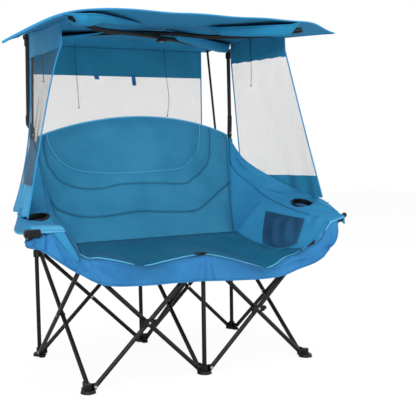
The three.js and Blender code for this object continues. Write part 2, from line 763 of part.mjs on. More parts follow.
// The rivet on which a canopy bar turns: its shaft from a given height up, and its head over the bar
function canopyRivet(x, y, bottom, level) {
  const headTop = level + canopyBarRadius + fitGap;
  return [
    rodBetween([x, y, bottom], [x, y, headTop + rivetHeadThickness], pinRadius, pinSegments),
    rodBetween([x, y, headTop], [x, y, headTop + rivetHeadThickness], rivetHeadRadius, pinSegments),
  ];
}

// A canopy bar runs from one post head to the opposite front corner
function addCanopyBar(name, sign) {
  const level = canopyLevel(sign);
  const rear = new THREE.Vector3(sign * canopyPostHead[0], canopyPostHead[1], level);
  const tip = new THREE.Vector3(-sign * canopyFrontEnd[0], canopyFrontEnd[1], level);
  const along = tip.clone().sub(rear).normalize();
  const start = rear.clone().addScaledVector(along, -canopyRearOverhang);
  const capStart = tip.clone().addScaledVector(along, -endCapLength);
  const share = canopyPostHead[0] / (canopyPostHead[0] + canopyFrontEnd[0]);
  const crossing = rear.clone().lerp(tip, share);
  const up = [crossing, rear].map((point) => rodBetween(
    [point.x, point.y, level - 2 * canopyBarRadius],
    [point.x, point.y, level + 2 * canopyBarRadius],
    pinHoleRadius,
    pinSegments,
  ));
  const shaft = rodBetween(start.toArray(), tip.toArray(), canopyBarRadius);
  const cap = roundedTube(capStart.toArray(), tip.toArray(), endCapRadius);
  const bar = shaft.add(cap);
  const rivet = canopyRivet(rear.x, rear.y, level, level);
  addNode(name, toGeometry(sign < 0 ? cut(bar, up) : join([bar, canopyHub(), ...rivet])), steel);
}

// The plate and screw at the crossing, carried by the lower bar
function canopyHub() {
  const share = canopyPostHead[0] / (canopyPostHead[0] + canopyFrontEnd[0]);
  const y = mix(canopyPostHead[1], canopyFrontEnd[1], share);
  const below = canopyBarHeight - canopyBarDrop - canopyBarRadius;
  const above = canopyBarHeight + canopyBarRadius + fitGap;
  const plate = rodBetween([0, y, below - hubPlateThickness], [0, y, below + fitGap], hubPlateRadius, roundSegments);
  const screw = rodBetween([0, y, below], [0, y, above + hubScrewHeadThickness], hubScrewRadius, pinSegments);
  const headLow = rodBetween([0, y, below - hubPlateThickness - hubScrewHeadThickness],
    [0, y, below - hubPlateThickness + fitGap], hubScrewHeadRadius, pinSegments);
  const headHigh = rodBetween([0, y, above], [0, y, above + hubScrewHeadThickness],
    hubScrewHeadRadius, pinSegments);
  return join([plate, screw, headLow, headHigh]);
}

function addRearRod(name, sign) {
  const base = [sign * rodBase[0], rodBase[1], rodBase[2]];
  const top = [sign * rodTop[0], rodTop[1], rodTop[2]];
  addNode(name, toGeometry(rodBetween(base, top, rodRadius)), steel);
}

// The clamp on an outer back post that holds the foot of a rear rod
function rodClamp(sign) {
  const x = sign * postSpacing;
  const base = [sign * rodBase[0], rodBase[1], rodBase[2] - fitGap];
  const top = [sign * rodTop[0], rodTop[1], rodTop[2]];
  const body = join([
    rodBetween([x, rowHalfDepth, rodClampBottom], [x, rowHalfDepth, rodClampTop], rodClampRadius, roundSegments),
    boxBetween([x - rodClampHalfWidth, rowHalfDepth, rodClampBottom],
      [x + rodClampHalfWidth, rodBase[1], rodClampTop]),
    rodBetween([base[0], base[1], rodClampBottom], [base[0], base[1], rodClampTop], rodSocketRadius, roundSegments),
  ]);
  return body.subtract(rodBetween(base, top, rodRadius + fitGap));
}

function seatFrontEdgeZ(x) {
  const across = Math.abs(x) / seatFrontHalfWidth;
  const lobe = Math.sin(Math.PI * clamp01(across)) ** 2 * (x < 0 ? seatLeftLobe : seatRightLobe);
  return seatFrontZ + seatCornerRise * across ** 4 - lobe;
}

// The seat surface: u from left to right, v from the backrest to the front edge
function seatPoint(u, v) {
  const across = 2 * u - 1;
  const x = across * mix(seatBackHalfWidth, seatFrontHalfWidth, v ** 1.15);
  const y = mix(seatBackY, seatFrontY + seatFrontNotch * (1 - Math.abs(across)) ** 4, v);
  const z = mix(seatBackZ, seatFrontEdgeZ(across * seatFrontHalfWidth), v ** 1.3);
  const dish = seatDish * Math.sin(Math.PI * v) * (1 - across ** 4);
  return [x, y, z - dish];
}

function addSeat() {
  const thickness = (u, v) => {
    const plump = (16 * u * (1 - u) * v * (1 - v)) ** 0.45;
    return seatEdgeThickness + seatCrown * clamp01(plump);
  };
  addNode('seat_cushion', outwardSheet(seatPoint, 22, 9, thickness), cloth);
}

function backChannel(across, v) {
  const width = backChannelWidth_share;
  return backChannel_shares.reduce((deepest, [level, reach]) => {
    const climb = (Math.abs(across) / reach) ** 8;
    const distance = Math.abs(v - (level + (1 - level) * clamp01(climb)));
    return Math.max(deepest, Math.exp(-((distance / width) ** 2)));
  }, 0);
}

// The backrest surface: u from left to right, v from the seat up to the top edge
function backPoint(u, v) {
  const across = 2 * u - 1;
  const x = across * mix(backLowHalfWidth, backTopHalfWidth, v ** backFlare_share);
  const topY = backTopY + backTopCurve * across ** 2;
  const y = mix(backLowY, topY, v ** mix(backMiddleLean_share, backSideLean_share, across ** 2));
  const z = mix(backLowZ, backTopZ - backTopDrop * across ** 2, v);
  return [x, y, z];
}

function addBack() {
  const thickness = (u, v) => {
    const plump = clamp01((16 * u * (1 - u) * v * (1 - v)) ** 0.4);
    return backEdgeThickness + backCrown * plump - backChannelDepth * plump * backChannel(2 * u - 1, v);
  };
  const panel = toSolid(outwardSheet(backPoint, 24, 13, thickness));
  const sleeves = [-1, 1].map((sign) => rodBetween([sign * postSpacing, rowHalfDepth, backSleeveBottom],
    [sign * postSpacing, rowHalfDepth, backSleeveTop], backSleeveRadius, roundSegments));
  const bores = [-1, 1].map((sign) => rodBetween([sign * postSpacing, rowHalfDepth, backSleeveBottom - backSleeveRadius],
    [sign * postSpacing, rowHalfDepth, backSleeveTop + backSleeveRadius], tubeRadius + fitGap));
  addNode('backrest', toGeometry(cut(join([panel, ...sleeves]), bores)), cloth);
}

function curveAt(points, share) {
  const curve = new THREE.CatmullRomCurve3(points.map((point) => new THREE.Vector3(...point)), false, 'centripetal');
  return curve.getPoint(clamp01(share));
}

// The inner edge of the arm cloth: down the side of the backrest, then forward beside the seat
function armInnerEdge(share) {
  const outward = armThickness / 2 + armEdgeGap;
  if (share <= 0.5) {
    const rise = armCornerTop_share * (1 - 2 * share) ** 1.3;
    const [x, y, z] = backPoint(1, rise);
    const tuck = Math.min(armTuckBehind, postGapAt(y));
    return new THREE.Vector3(x + outward, y + tuck, z - armTuckBelow * 2 * share);
  }
  const [x, y, z] = seatPoint(1, 2 * share - 1);
  const settle = clamp01((share - 0.5) / 0.1);
  return new THREE.Vector3(x + outward, y + mix(armTuckBehind, 0, settle), z - armTuckBelow);
}

// How far a point may move back before it meets the sleeve of the post
function postGapAt(y) {
  return Math.max(rowHalfDepth - backSleeveRadius - armThickness - 5 * armEdgeGap - y, -armThickness);
}

// A point on the arm cloth: u across from the seat to the hem, v from the back corner forward
function armPoint(u, v) {
  const [kneeShare, edgeShare] = armKneeSpan_shares;
  const curves = [armInnerEdge, ...[armKnee_shares, armOuter_shares, armHem_shares].map((shares) => {
    const points = shares.map(([x, y, z]) => [x * postSpacing, y * rowHalfDepth, z * backTopZ]);
    return (share) => curveAt(points, share);
  })];
  const stations = [0, kneeShare, edgeShare, 1];
  const upper = Math.max(stations.findIndex((share) => share >= u), 1);
  const local = (u - stations[upper - 1]) / (stations[upper] - stations[upper - 1]);
  return curves[upper - 1](v).clone().lerp(curves[upper](v), local);
}

function mirrored(sign, point) {
  return [sign * point.x, point.y, point.z];
}

// Where the cup ring sits on the arm: its centre and the upward normal of the cloth
function ringSeat() {
  const [u, v] = ringSpot_shares;
  const reach_share = 0.05;
  const across = armPoint(u + reach_share, v).sub(armPoint(u - reach_share, v));
  const along = armPoint(u, v + reach_share).sub(armPoint(u, v - reach_share));
  const normal = across.cross(along).normalize();
  if (normal.z < 0) normal.negate();
  return { centre: armPoint(u, v), normal };
}

// Moves a solid built round the Z axis at the origin onto the ring seat
function ontoRingSeat(geometry, sign) {
  const { centre, normal } = ringSeat();
  geometry.applyQuaternion(new THREE.Quaternion().setFromUnitVectors(new THREE.Vector3(0, 0, 1),
    new THREE.Vector3(sign * normal.x, normal.y, normal.z)));
  geometry.translate(sign * centre.x, centre.y, centre.z);
  return geometry;
}

function addArm(name, sign) {
  const at = (u, v) => mirrored(sign, armPoint(u, v));
  const cloths = toSolid(outwardSheet(at, 8, 16, () => armThickness));
  const punch = new THREE.CylinderGeometry(cupHoleRadius, cupHoleRadius, 8 * armThickness, roundSegments);
  punch.rotateX(Math.PI / 2);
  const hole = toSolid(ontoRingSeat(punch, sign));
  addNode(name, toGeometry(cloths.subtract(hole)), cloth);
}

function latheAlongZ(profile) {
  const geometry = new THREE.LatheGeometry(profile.map(([radius, height]) => new THREE.Vector2(radius, height)),
    roundSegments);
  return geometry.rotateX(Math.PI / 2);
}

// The ring sits in the hole and its flange lies on the arm
function addRing(name, sign) {
  const outer = cupHoleRadius - fitGap;
  const geometry = latheAlongZ([
    [ringInnerRadius, -ringBody], [outer, -ringBody], [outer, ringLift], [ringOuterRadius, ringLift],
    [ringOuterRadius, ringLift + ringRimRise / 2], [cupHoleRadius, ringLift + ringRimRise],
    [ringInnerRadius, ringLift + ringRimRise], [ringInnerRadius, -ringBody],
  ]);
  addNode(name, toGeometry(toSolid(ontoRingSeat(geometry, sign))), plastic);
}

function addWell(name, sign) {
  const top = -ringBody - wellTopGap;
  const low = top - wellDepth;
  const geometry = latheAlongZ([
    [0, low], [wellRadius - 2 * wellWall, low], [wellRadius, top], [wellRadius - wellWall, top],
    [wellRadius - 3 * wellWall, low + wellWall], [0, low + wellWall],
  ]);
  addNode(name, toGeometry(toSolid(ontoRingSeat(geometry, sign))), cloth);
}

// The net pocket hangs inside the right arm, between the seat and the knee
function addPocket() {
  const [from, to] = pocketSpan_shares;
  const [low, high] = pocketRise_shares;
  const at = (u, v) => {
    const point = armPoint(mix(low, high, u), mix(from, to, v));
    return [point.x - pocketOffset, point.y, point.z + pocketOffset / 2];
  };
  addNode('net_pocket_right', outwardSheet(at, 4, 8, () => pocketThickness), pocketNet);
}

function skirtTopZ(x) {
  const reach = Math.abs(x);
  if (reach <= skirtArmInner) {
    const inside = Math.min(reach, seatFrontHalfWidth) * Math.sign(x);
    return seatFrontEdgeZ(inside) + skirtTopLift;
  }
  const start = seatFrontEdgeZ(seatFrontHalfWidth * Math.sign(x)) + skirtTopLift;
  if (reach <= skirtArmKnee) {
    return mix(start, skirtArmKneeZ, (reach - skirtArmInner) / (skirtArmKnee - skirtArmInner));
  }
  return mix(skirtArmKneeZ, skirtArmTopZ, (reach - skirtArmKnee) / (skirtHalfWidth - skirtArmKnee));
}

function skirtBottomZ(x) {
  const reach = Math.abs(x) + (x < 0 ? skirtLeftShift : -skirtRightShift);
  return skirtHemZ + skirtHemRise * clamp01((reach - skirtHemStart) / skirtHemSpan) ** 1.2;
}

function addSkirt() {
  const at = (u, v) => {
    const x = mix(-skirtHalfWidth, skirtHalfWidth, u);
    const forward = Math.min(v / skirtTopSpan_share, 1);
    const down = Math.max(v - skirtTopSpan_share, 0) / (1 - skirtTopSpan_share);
    const z = mix(skirtTopZ(x), skirtBottomZ(x), down);
    const fold = skirtFold * down * (1 - Math.cos((2 * Math.PI * x) / skirtFoldPitch));
    const pleat = skirtPleat * down * Math.exp(-((x / skirtPleatWidth) ** 2));
    return [x, mix(skirtRearY, skirtY, forward) - fold / 2 - pleat, z + skirtCrown * forward * (1 - forward)];
  };
  const apron = toSolid(outwardSheet(at, 48, 4, () => skirtThickness));
  const tipHole = rodBetween([0, -rowHalfDepth, highPinHeight], [0, -rowHalfDepth, highPinHeight + slotTravel],
    postCapRadius + fitGap, roundSegments);
  addNode('front_skirt', toGeometry(apron.subtract(tipHole)), cloth);
}

function roofHalfWidth(y) {
  if (y > roofPostY) return mix(roofPostHalfWidth, roofRearHalfWidth, (y - roofPostY) / (roofRearY - roofPostY));
  return mix(roofPostHalfWidth, roofTipHalfWidth, (roofPostY - y) / (roofPostY - roofTipY));
}

// Distance from the middle at a share of the way out: flat up to the eave, then the drooping wing
function roofReach(share, y) {
  const edge = roofHalfWidth(y);
  const eave = Math.min(roofPostHalfWidth, roofEaveInset_share * edge);
  if (share <= roofEave_share) return (eave * share) / roofEave_share;
  return mix(eave, edge, (share - roofEave_share) / (1 - roofEave_share));
}

// The underside of the roof where something is sewn to it
function roofSeamZ(x, y) {
  return roofZ(x, y) - roofThickness / 2 - seamGap;
}

function roofZ(x, y) {
  const step = roofStep * smooth((roofRearY - y) / roofStepSpan);
  const forward = roofForwardRise * clamp01((roofPostY - y) / (roofPostY - roofFrontY));
  const outside = clamp01((Math.abs(x) - roofPostHalfWidth) / (roofTipHalfWidth - roofPostHalfWidth));
  const droop = (x < 0 ? roofLeftDroop : roofRightDroop) * outside ** roofDroop_share;
  return roofRearZ + step + forward - droop;
}

function addRoof() {
  const at = (u, v) => {
    const across = 2 * u - 1;
    const forward = v ** roofRow_share;
    const sideY = mix(roofRearY, roofTipY, forward);
    const middleY = mix(roofRearY, roofFrontY, forward);
    const x = Math.sign(across) * roofReach(Math.abs(across), sideY);
    const outer = smooth((Math.abs(x) - roofCentralHalfWidth) / (roofTipHalfWidth - roofCentralHalfWidth));
    const y = mix(middleY, sideY, outer);
    return [x, y, roofZ(x, y)];
  };
  addNode('canopy_roof', outwardSheet(at, roofColumns, roofRows, () => roofThickness), cloth);
}

function addRearCurtain() {
  const at = (u, v) => {
    const x = mix(-rearCurtainLeft, rearCurtainRight, u);
    const z = mix(roofSeamZ(x, rearCurtainY), rearCurtainBottomZ, v);
    const wave = rearCurtainWave * v * Math.sin((2 * Math.PI * x) / rearCurtainWavePitch);
    return [x, rearCurtainY + wave, z];
  };
  addNode('rear_curtain', outwardSheet(at, 16, 5, () => curtainThickness), net);
}

function addSideCurtain(name, sign) {
  const at = (u, v) => {
    const frontY = sideCurtainFrontY - sideCurtainFrontLean * v;
    const y = mix(sideCurtainBackY, frontY, u);
    const z = mix(roofSeamZ(sign * sideCurtainTopX, y), sideCurtainBottomZ, v);
    const flare = mix(sideCurtainFlareBack, sideCurtainFlareFront, smooth(sideCurtainFlare_share * u));
    const wave = sideCurtainWave * v * Math.sin((2 * Math.PI * y) / sideCurtainWavePitch);
    return [sign * (sideCurtainTopX + flare * v + wave), y, z];
  };
  addNode(name, outwardSheet(at, 14, 6, () => curtainThickness), net);
}

// A tie cord hangs from the roof, so its first point is lifted to the cloth
function addCord(name, route) {
  const x = route[0][0];
  const rowY = mix(roofRearY, roofFrontY, (1 / roofRows) ** roofRow_share);
  const topY = Math.min(route[0][1], rowY);
  route[0] = [x, topY, roofSeamZ(x, topY)];
  const path = new THREE.CatmullRomCurve3(route.map((point) => new THREE.Vector3(...point)), false, 'centripetal');
  const ring = new THREE.Shape();
  const corners = Array.from({ length: cordSegments }, (_, k) => {
    const angle = (2 * Math.PI * k) / cordSegments;
    return new THREE.Vector2(cordRadius * Math.cos(angle), cordRadius * Math.sin(angle));
  });
  ring.setFromPoints(corners);
  const geometry = new THREE.ExtrudeGeometry(ring, { steps: cordSteps, extrudePath: path, bevelEnabled: false });
  addNode(name, toGeometry(toSolid(geometry)), cordInk);
}

function addCords() {
  [['left', -1], ['right', 1]].forEach(([side, sign]) => {
    const route = sideCordRoute.map(([x, y, z]) => [sign * x, y, z]);
    addCord(`tie_cord_${side}`, route);
  });
  addCord('tie_cord_rear_left', rearLeftCordRoute);
  addCord('tie_cord_rear_right', rearRightCordRoute);
}

addAllBars();
addFeet();
addBrackets();
addHub('hub_front_left', -1);
addHub('hub_front_right', 1);
addPosts();
[['left', -1], ['right', 1]].forEach(([side, sign]) => {
  addArmTube(`arm_tube_${side}`, sign);
  addCoupler(`coupler_${side}`, sign);
  addCanopyPost(`canopy_post_${side}`, sign);
  addCanopyBar(`canopy_bar_from_${side}`, sign);
  addRearRod(`rear_rod_${side}`, sign);
  addArm(`arm_${side}`, sign);
  addRing(`cup_ring_${side}`, sign);
  addWell(`cup_well_${side}`, sign);
  addSideCurtain(`side_curtain_${side}`, sign);
});
addSeat();
addBack();
addPocket();
addSkirt();
addRoof();
addRearCurtain();
addCords();

export default group;
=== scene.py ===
# %% [markdown]
# This notebook dresses a folding camping loveseat: a padded seat for two in a folding frame of crossed
# tubes, with cup holders in the arms and a canopy whose sides carry net curtains.
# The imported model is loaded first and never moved. It could be painted as it is, but its cloth is plain and
# its tubes have few sides, so smoother and fuller pieces are worked out here and take their places.

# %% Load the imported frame
import math

import bmesh
import bpy
import numpy as np
from mathutils import Matrix


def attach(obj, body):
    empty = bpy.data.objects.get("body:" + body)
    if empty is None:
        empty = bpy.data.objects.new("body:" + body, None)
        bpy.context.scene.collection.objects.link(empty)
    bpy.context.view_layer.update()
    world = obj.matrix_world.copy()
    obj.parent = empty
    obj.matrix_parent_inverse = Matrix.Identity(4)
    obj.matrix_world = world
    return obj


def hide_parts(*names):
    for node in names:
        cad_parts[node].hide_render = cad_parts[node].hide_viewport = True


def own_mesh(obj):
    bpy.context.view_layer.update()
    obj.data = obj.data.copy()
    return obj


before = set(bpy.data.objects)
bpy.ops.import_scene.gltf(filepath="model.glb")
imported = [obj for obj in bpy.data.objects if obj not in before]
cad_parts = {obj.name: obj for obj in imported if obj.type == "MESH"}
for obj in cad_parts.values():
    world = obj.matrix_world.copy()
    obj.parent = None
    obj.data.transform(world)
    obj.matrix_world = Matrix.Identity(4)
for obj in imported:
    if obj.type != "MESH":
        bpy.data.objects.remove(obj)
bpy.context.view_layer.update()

# %% [markdown]
# The camera stands left of the middle and a little above the arms, as it did for the photograph. Its place
# was worked out from the feet, the hubs and the corners of the roof, so it is written down as it came out.
# A camera could also be aimed with a constraint, but three angles are easier to read and to correct.

# %% Camera
CAMERA_PLACE = (-1.47423, -2.60419, 0.90510)
CAMERA_YAW, CAMERA_PITCH, CAMERA_ROLL = 0.452631, 0.083474, -0.019763
SENSOR_WIDTH = 36.0
PICTURE_SIDE = 416
FOCAL_PIXELS = 757.483
CENTRE_PIXELS = (155, 212)


def camera_axes(yaw, pitch, roll):
    """Right, up and back of a camera that turns about the upright, then dips, then rolls."""
    forward = np.array([math.sin(yaw) * math.cos(pitch), math.cos(yaw) * math.cos(pitch), -math.sin(pitch)])
    level = np.array([math.cos(yaw), -math.sin(yaw), 0.0])
    upright = np.cross(level, forward)
    right = level * math.cos(roll) + upright * math.sin(roll)
    up = upright * math.cos(roll) - level * math.sin(roll)
    return right, up, -forward


def make_camera():
    """A camera at the fitted place; its shift puts the fitted pixel in the middle of the view."""
    data = bpy.data.cameras.new("camera")
    data.sensor_width = SENSOR_WIDTH
    data.lens = FOCAL_PIXELS * SENSOR_WIDTH / PICTURE_SIDE
    data.shift_x = (PICTURE_SIDE / 2 - CENTRE_PIXELS[0]) / PICTURE_SIDE
    data.shift_y = (CENTRE_PIXELS[1] - PICTURE_SIDE / 2) / PICTURE_SIDE
    camera = bpy.data.objects.new("camera", data)
    bpy.context.scene.collection.objects.link(camera)
    turned_axes = np.eye(4)
    turned_axes[:3, :3] = np.stack(camera_axes(CAMERA_YAW, CAMERA_PITCH, CAMERA_ROLL), 1)
    turned_axes[:3, 3] = CAMERA_PLACE
    camera.matrix_world = Matrix(turned_axes.tolist())
    bpy.context.scene.camera = camera
    return data


camera_data = make_camera()
print("lens", round(camera_data.lens, 2), "mm, shift", round(camera_data.shift_x, 4),
      round(camera_data.shift_y, 4))

# %% [markdown]
# Cloth, plastic and steel each get a finish made of nodes. A helper makes a node, sets what is constant
# and links what is not, so that each finish below reads as a list of what it is made of.

# %% Helpers for finishes
def linear(code):
    """A colour written as RRGGBB, turned to the linear values that a shader reads."""
    channels = [int(code[k:k + 2], 16) / 255 for k in (0, 2, 4)]
    return tuple(c / 12.92 if c <= 0.04045 else ((c + 0.055) / 1.055) ** 2.4 for c in channels) + (1.0,)


def new_finish(name, roughness, metallic=0.0):
    """A material, its node tree and its main shader."""
    material = bpy.data.materials.new(name)
    material.use_nodes = True
    shader = material.node_tree.nodes["Principled BSDF"]
    shader.inputs["Roughness"].default_value = roughness
    shader.inputs["Metallic"].default_value = metallic
    return material, material.node_tree, shader


def node(tree, kind, inputs=None, **settings):
    """Adds a node, sets its settings, and links or fills each named input."""
    made = tree.nodes.new(kind)
    for key, value in settings.items():
        setattr(made, key, value)
    for socket, value in (inputs or {}).items():
        if isinstance(value, bpy.types.NodeSocket):
            tree.links.new(value, made.inputs[socket])
        else:
            made.inputs[socket].default_value = value
    return made


def maths(tree, operation, *values, **settings):
    """One sum of a shader on one or two values."""
    return node(tree, "ShaderNodeMath", dict(enumerate(values)), operation=operation, **settings).outputs[0]


def cloth_uv(tree):
    """The map that every piece carries: metres across and metres down its cloth."""
    return node(tree, "ShaderNodeUVMap", uv_map="cloth_metres").outputs["UV"]


def object_noise(tree, scale, detail=3.0, roughness=0.5):
    """A noise that moves with its object."""
    place = node(tree, "ShaderNodeTexCoord").outputs["Object"]
    inputs = {"Vector": place, "Scale": scale, "Detail": detail, "Roughness": roughness}
    return node(tree, "ShaderNodeTexNoise", inputs).outputs["Fac"]


def stretched(tree, value, low, high, to_low=0.0, to_high=1.0):
    """Maps low..high to to_low..to_high, and holds it there outside."""
    inputs = {"Value": value, "From Min": low, "From Max": high, "To Min": to_low, "To Max": to_high}
    return node(tree, "ShaderNodeMapRange", inputs).outputs["Result"]


def mixed_colour(tree, share, first, second):
    """The first colour where the share is 0, the second where it is 1."""
    made = node(tree, "ShaderNodeMix", data_type="RGBA")
    for socket, value in ((made.inputs[0], share), (made.inputs[6], first), (made.inputs[7], second)):
        if isinstance(value, bpy.types.NodeSocket):
            tree.links.new(value, socket)
        else:
            socket.default_value = value
    return made.outputs[2]


def bump(tree, height, distance, strength, before=None):
    """Tilts the normal by the slope of a height, after an earlier tilt if there is one."""
    inputs = {"Height": height, "Distance": distance, "Strength": strength}
    if before is not None:
        inputs["Normal"] = before
    return node(tree, "ShaderNodeBump", inputs).outputs["Normal"]


WAVE_TURN = 20.0


def stripes(tree, uv, direction, pitch):
    """A wave along one direction of the cloth: its scale is 2 pi / (turn of the wave node * pitch)."""
    inputs = {"Vector": uv, "Scale": 2 * math.pi / (WAVE_TURN * pitch), "Distortion": 0.0}
    return node(tree, "ShaderNodeTexWave", inputs, wave_type="BANDS", bands_direction=direction,
                wave_profile="SIN").outputs["Fac"]


print("helpers for finishes ready")

# %% [markdown]
# The blue cloth is a plain-woven polyester. A photograph could not show each yarn, but it shows soft
# mottling, crumpling at a few centimetres, and darker lines along the sewn seams. The weave is two crossed
# waves on the cloth's own map, which is in metres. An attribute of the mesh darkens the colour: it holds
# the seams and also painted shade in creases, in crevices between parts and under edges.

# %% Cloth
WEAVE_PITCH, YARN_HEIGHT, CRUMPLE_HEIGHT = 0.0016, 0.0003, 0.006
# The colour towards which seams and painted shade darken the cloth.
SEAM_AND_SHADE_COLOUR = "0d3550"


def cloth(name, deep, lit, crumple=0.35, seam_and_shade_depth=0.72):
    """Woven cloth: mottled colour, dark seams and painted shade, weave and crumpling as bumps, uneven gloss.
    """
    material, tree, shader = new_finish(name, 0.82)
    uv = cloth_uv(tree)
    mottle = stretched(tree, object_noise(tree, 7.0, 5.0, 0.6), 0.32, 0.68)
    colour = mixed_colour(tree, mottle, linear(deep), linear(lit))
    # The attribute says how dark each point is from its seams and from painted shade in creases and crevices.
    seam = node(tree, "ShaderNodeAttribute", attribute_name="seam").outputs["Fac"]
    shade = stretched(tree, seam, 0.0, 1.0, 0.0, seam_and_shade_depth)
    tree.links.new(mixed_colour(tree, shade, colour, linear(SEAM_AND_SHADE_COLOUR)), shader.inputs["Base Color"])
    weave = maths(tree, "MULTIPLY", *(stripes(tree, uv, direction, WEAVE_PITCH) for direction in "XY"))
    fine = bump(tree, weave, YARN_HEIGHT, 0.25)
    soft = bump(tree, object_noise(tree, 26.0, 4.0, 0.55), CRUMPLE_HEIGHT, crumple, fine)
    tree.links.new(soft, shader.inputs["Normal"])
    tree.links.new(stretched(tree, object_noise(tree, 40.0), 0.3, 0.7, 0.74, 0.9), shader.inputs["Roughness"])
    for socket, value in (("Sheen Weight", 0.03), ("Sheen Roughness", 0.5), ("Specular IOR Level", 0.15)):
        shader.inputs[socket].default_value = value
    return material


pad_cloth = cloth("pad_cloth", "2c7ca2", "3789af")
# The seat's cloth is a darker copy of the blue cloth: painted shade for the seat under the backrest and
# canopy.
seat_cloth_painted_shade = cloth("seat_cloth_painted_shade", "0b5b7e", "12688b")
outer_cloth = cloth("outer_cloth", "2b72ab", "3886c0", crumple=0.5)
arm_cloth = cloth("arm_cloth", "2a80b0", "368ebd", crumple=0.45)
roof_cloth = cloth("roof_cloth", "2382ae", "2a8dba", crumple=0.2)
band_cloth = cloth("band_cloth", "2a86ac", "3392b8", crumple=0.3)
# A paler copy of the band cloth for the left side, which stands in the light: painted light.
painted_light_band = cloth("painted_light_band_cloth", "4596c2", "55a6cf", crumple=0.25)
trim_cloth = cloth("trim_cloth", "2f8cc0", "3b98ca", crumple=0.15, seam_and_shade_depth=0.2)
piping = cloth("piping", "52abd6", "68bbe0", crumple=0.1, seam_and_shade_depth=0.2)
print("cloth finishes:", [m.name for m in bpy.data.materials if "cloth" in m.name or m.name == "piping"])

# %% [markdown]
# The curtains are a fine net of dark yarn that reads as pale grey against white. Its holes could be cut in
# the mesh, but that would take millions of faces. A grid of yarns on the cloth's map decides instead where
# the surface lets light through, so two layers over each other look darker, as they do in the photograph.

# %% Net
def net(name, yarn, worn, pitch, open_share):
    """See-through where both a stripe across and a stripe along the cloth are in their open share."""
    material, tree, shader = new_finish(name, 0.8)
    parts = node(tree, "ShaderNodeSeparateXYZ", {"Vector": cloth_uv(tree)})
    shares = [maths(tree, "FRACT", maths(tree, "DIVIDE", parts.outputs[axis], pitch)) for axis in "XY"]
    yarns = maths(tree, "MAXIMUM", *(maths(tree, "GREATER_THAN", share, open_share) for share in shares))
    tone = stretched(tree, object_noise(tree, 12.0, 4.0), 0.3, 0.7)
    tree.links.new(mixed_colour(tree, tone, linear(yarn), linear(worn)), shader.inputs["Base Color"])
    tree.links.new(yarns, shader.inputs["Alpha"])
    tree.links.new(bump(tree, yarns, YARN_HEIGHT, 0.3), shader.inputs["Normal"])
    return material


curtain_net = net("curtain_net", "55595c", "6d7276", 0.0024, 0.905)
pocket_net = net("pocket_net", "0f3f63", "1b5f8c", 0.0030, 0.62)
print("net finishes:", curtain_net.name, pocket_net.name)

# %% [markdown]
# The frame is powder-coated steel tube with black moulded feet and brackets, held by bright rivets. Each
# gets a fine grain in its bump and an uneven gloss, which is what tells paint, plastic and metal apart.

# %% Steel, plastic and cord
def grained(name, colour, worn, roughness, metallic, grain, depth):
    """Paint, plastic or metal: worn patches of colour, uneven gloss and a fine grain."""
    material, tree, shader = new_finish(name, roughness, metallic)
    patches = stretched(tree, object_noise(tree, 18.0, 5.0, 0.65), 0.45, 0.75)
    tree.links.new(mixed_colour(tree, patches, linear(colour), linear(worn)), shader.inputs["Base Color"])
    gloss = stretched(tree, object_noise(tree, 60.0, 3.0), 0.3, 0.7, roughness - 0.07, roughness + 0.08)
    tree.links.new(gloss, shader.inputs["Roughness"])
    tree.links.new(bump(tree, object_noise(tree, grain, 2.0), depth, 0.3), shader.inputs["Normal"])
    shader.inputs["Specular IOR Level"].default_value = 0.28
    return material


tube_paint = grained("tube_paint", "08090a", "121416", 0.42, 0.0, 900.0, 0.0002)
moulded = grained("moulded_plastic", "08090a", "121416", 0.5, 0.0, 1400.0, 0.0002)
bright_rivet = grained("bright_rivet", "b9bdc0", "8e9396", 0.3, 1.0, 700.0, 0.0001)


def braid(name):
    """Round cord: slanting ridges on the cord's map, round and along it, like braided yarns."""
    material, tree, shader = new_finish(name, 0.7)
    inputs = {"Vector": cloth_uv(tree), "Scale": 150.0, "Distortion": 0.0}
    wave = node(tree, "ShaderNodeTexWave", inputs, wave_type="BANDS", bands_direction="DIAGONAL")
    ridges = wave.outputs["Fac"]
    colour = mixed_colour(tree, ridges, linear("040405"), linear("0e0f10"))
    tree.links.new(colour, shader.inputs["Base Color"])
    tree.links.new(bump(tree, ridges, YARN_HEIGHT, 0.5), shader.inputs["Normal"])
    return material


black_braid = braid("black_braid")
print("hard finishes:", tube_paint.name, moulded.name, bright_rivet.name, black_braid.name)

# %% [markdown]
# Every new piece is one or more surfaces on a grid. The grid is a table of points, and the faces are the
# squares between neighbours. Working in whole arrays keeps a smooth piece of forty thousand points quick.
# Lengths are in millimetres from the middle of the six feet, and a piece turns to metres when it is made.

# %% Helpers for shapes
ROW_SHIFT = np.array([0.0, 300.0, 0.0])
METRE = 1000.0
TINY = 1e-9


def to_row(points):
    """Millimetres round the middle of the feet, to metres from under the middle of the front centre foot."""
    return (np.asarray(points, float) + ROW_SHIFT) / METRE


def unit(vectors):
    """Each vector divided by its length."""
    return vectors / np.maximum(np.linalg.norm(vectors, axis=-1, keepdims=True), TINY)


def grid(columns, rows):
    """Shares across and down for every point of a grid."""
    return np.meshgrid(np.linspace(0, 1, columns), np.linspace(0, 1, rows))


def squares(rows, columns, wrap=False):
    """Corner numbers of the squares between neighbours; wrap joins the last column to the first."""
    row, column = np.meshgrid(np.arange(rows - 1), np.arange(columns if wrap else columns - 1), indexing="ij")
    corner = row * columns + column
    beside = row * columns + (column + 1) % columns
    return np.stack([corner, beside, beside + columns, corner + columns], -1).reshape(-1, 4)


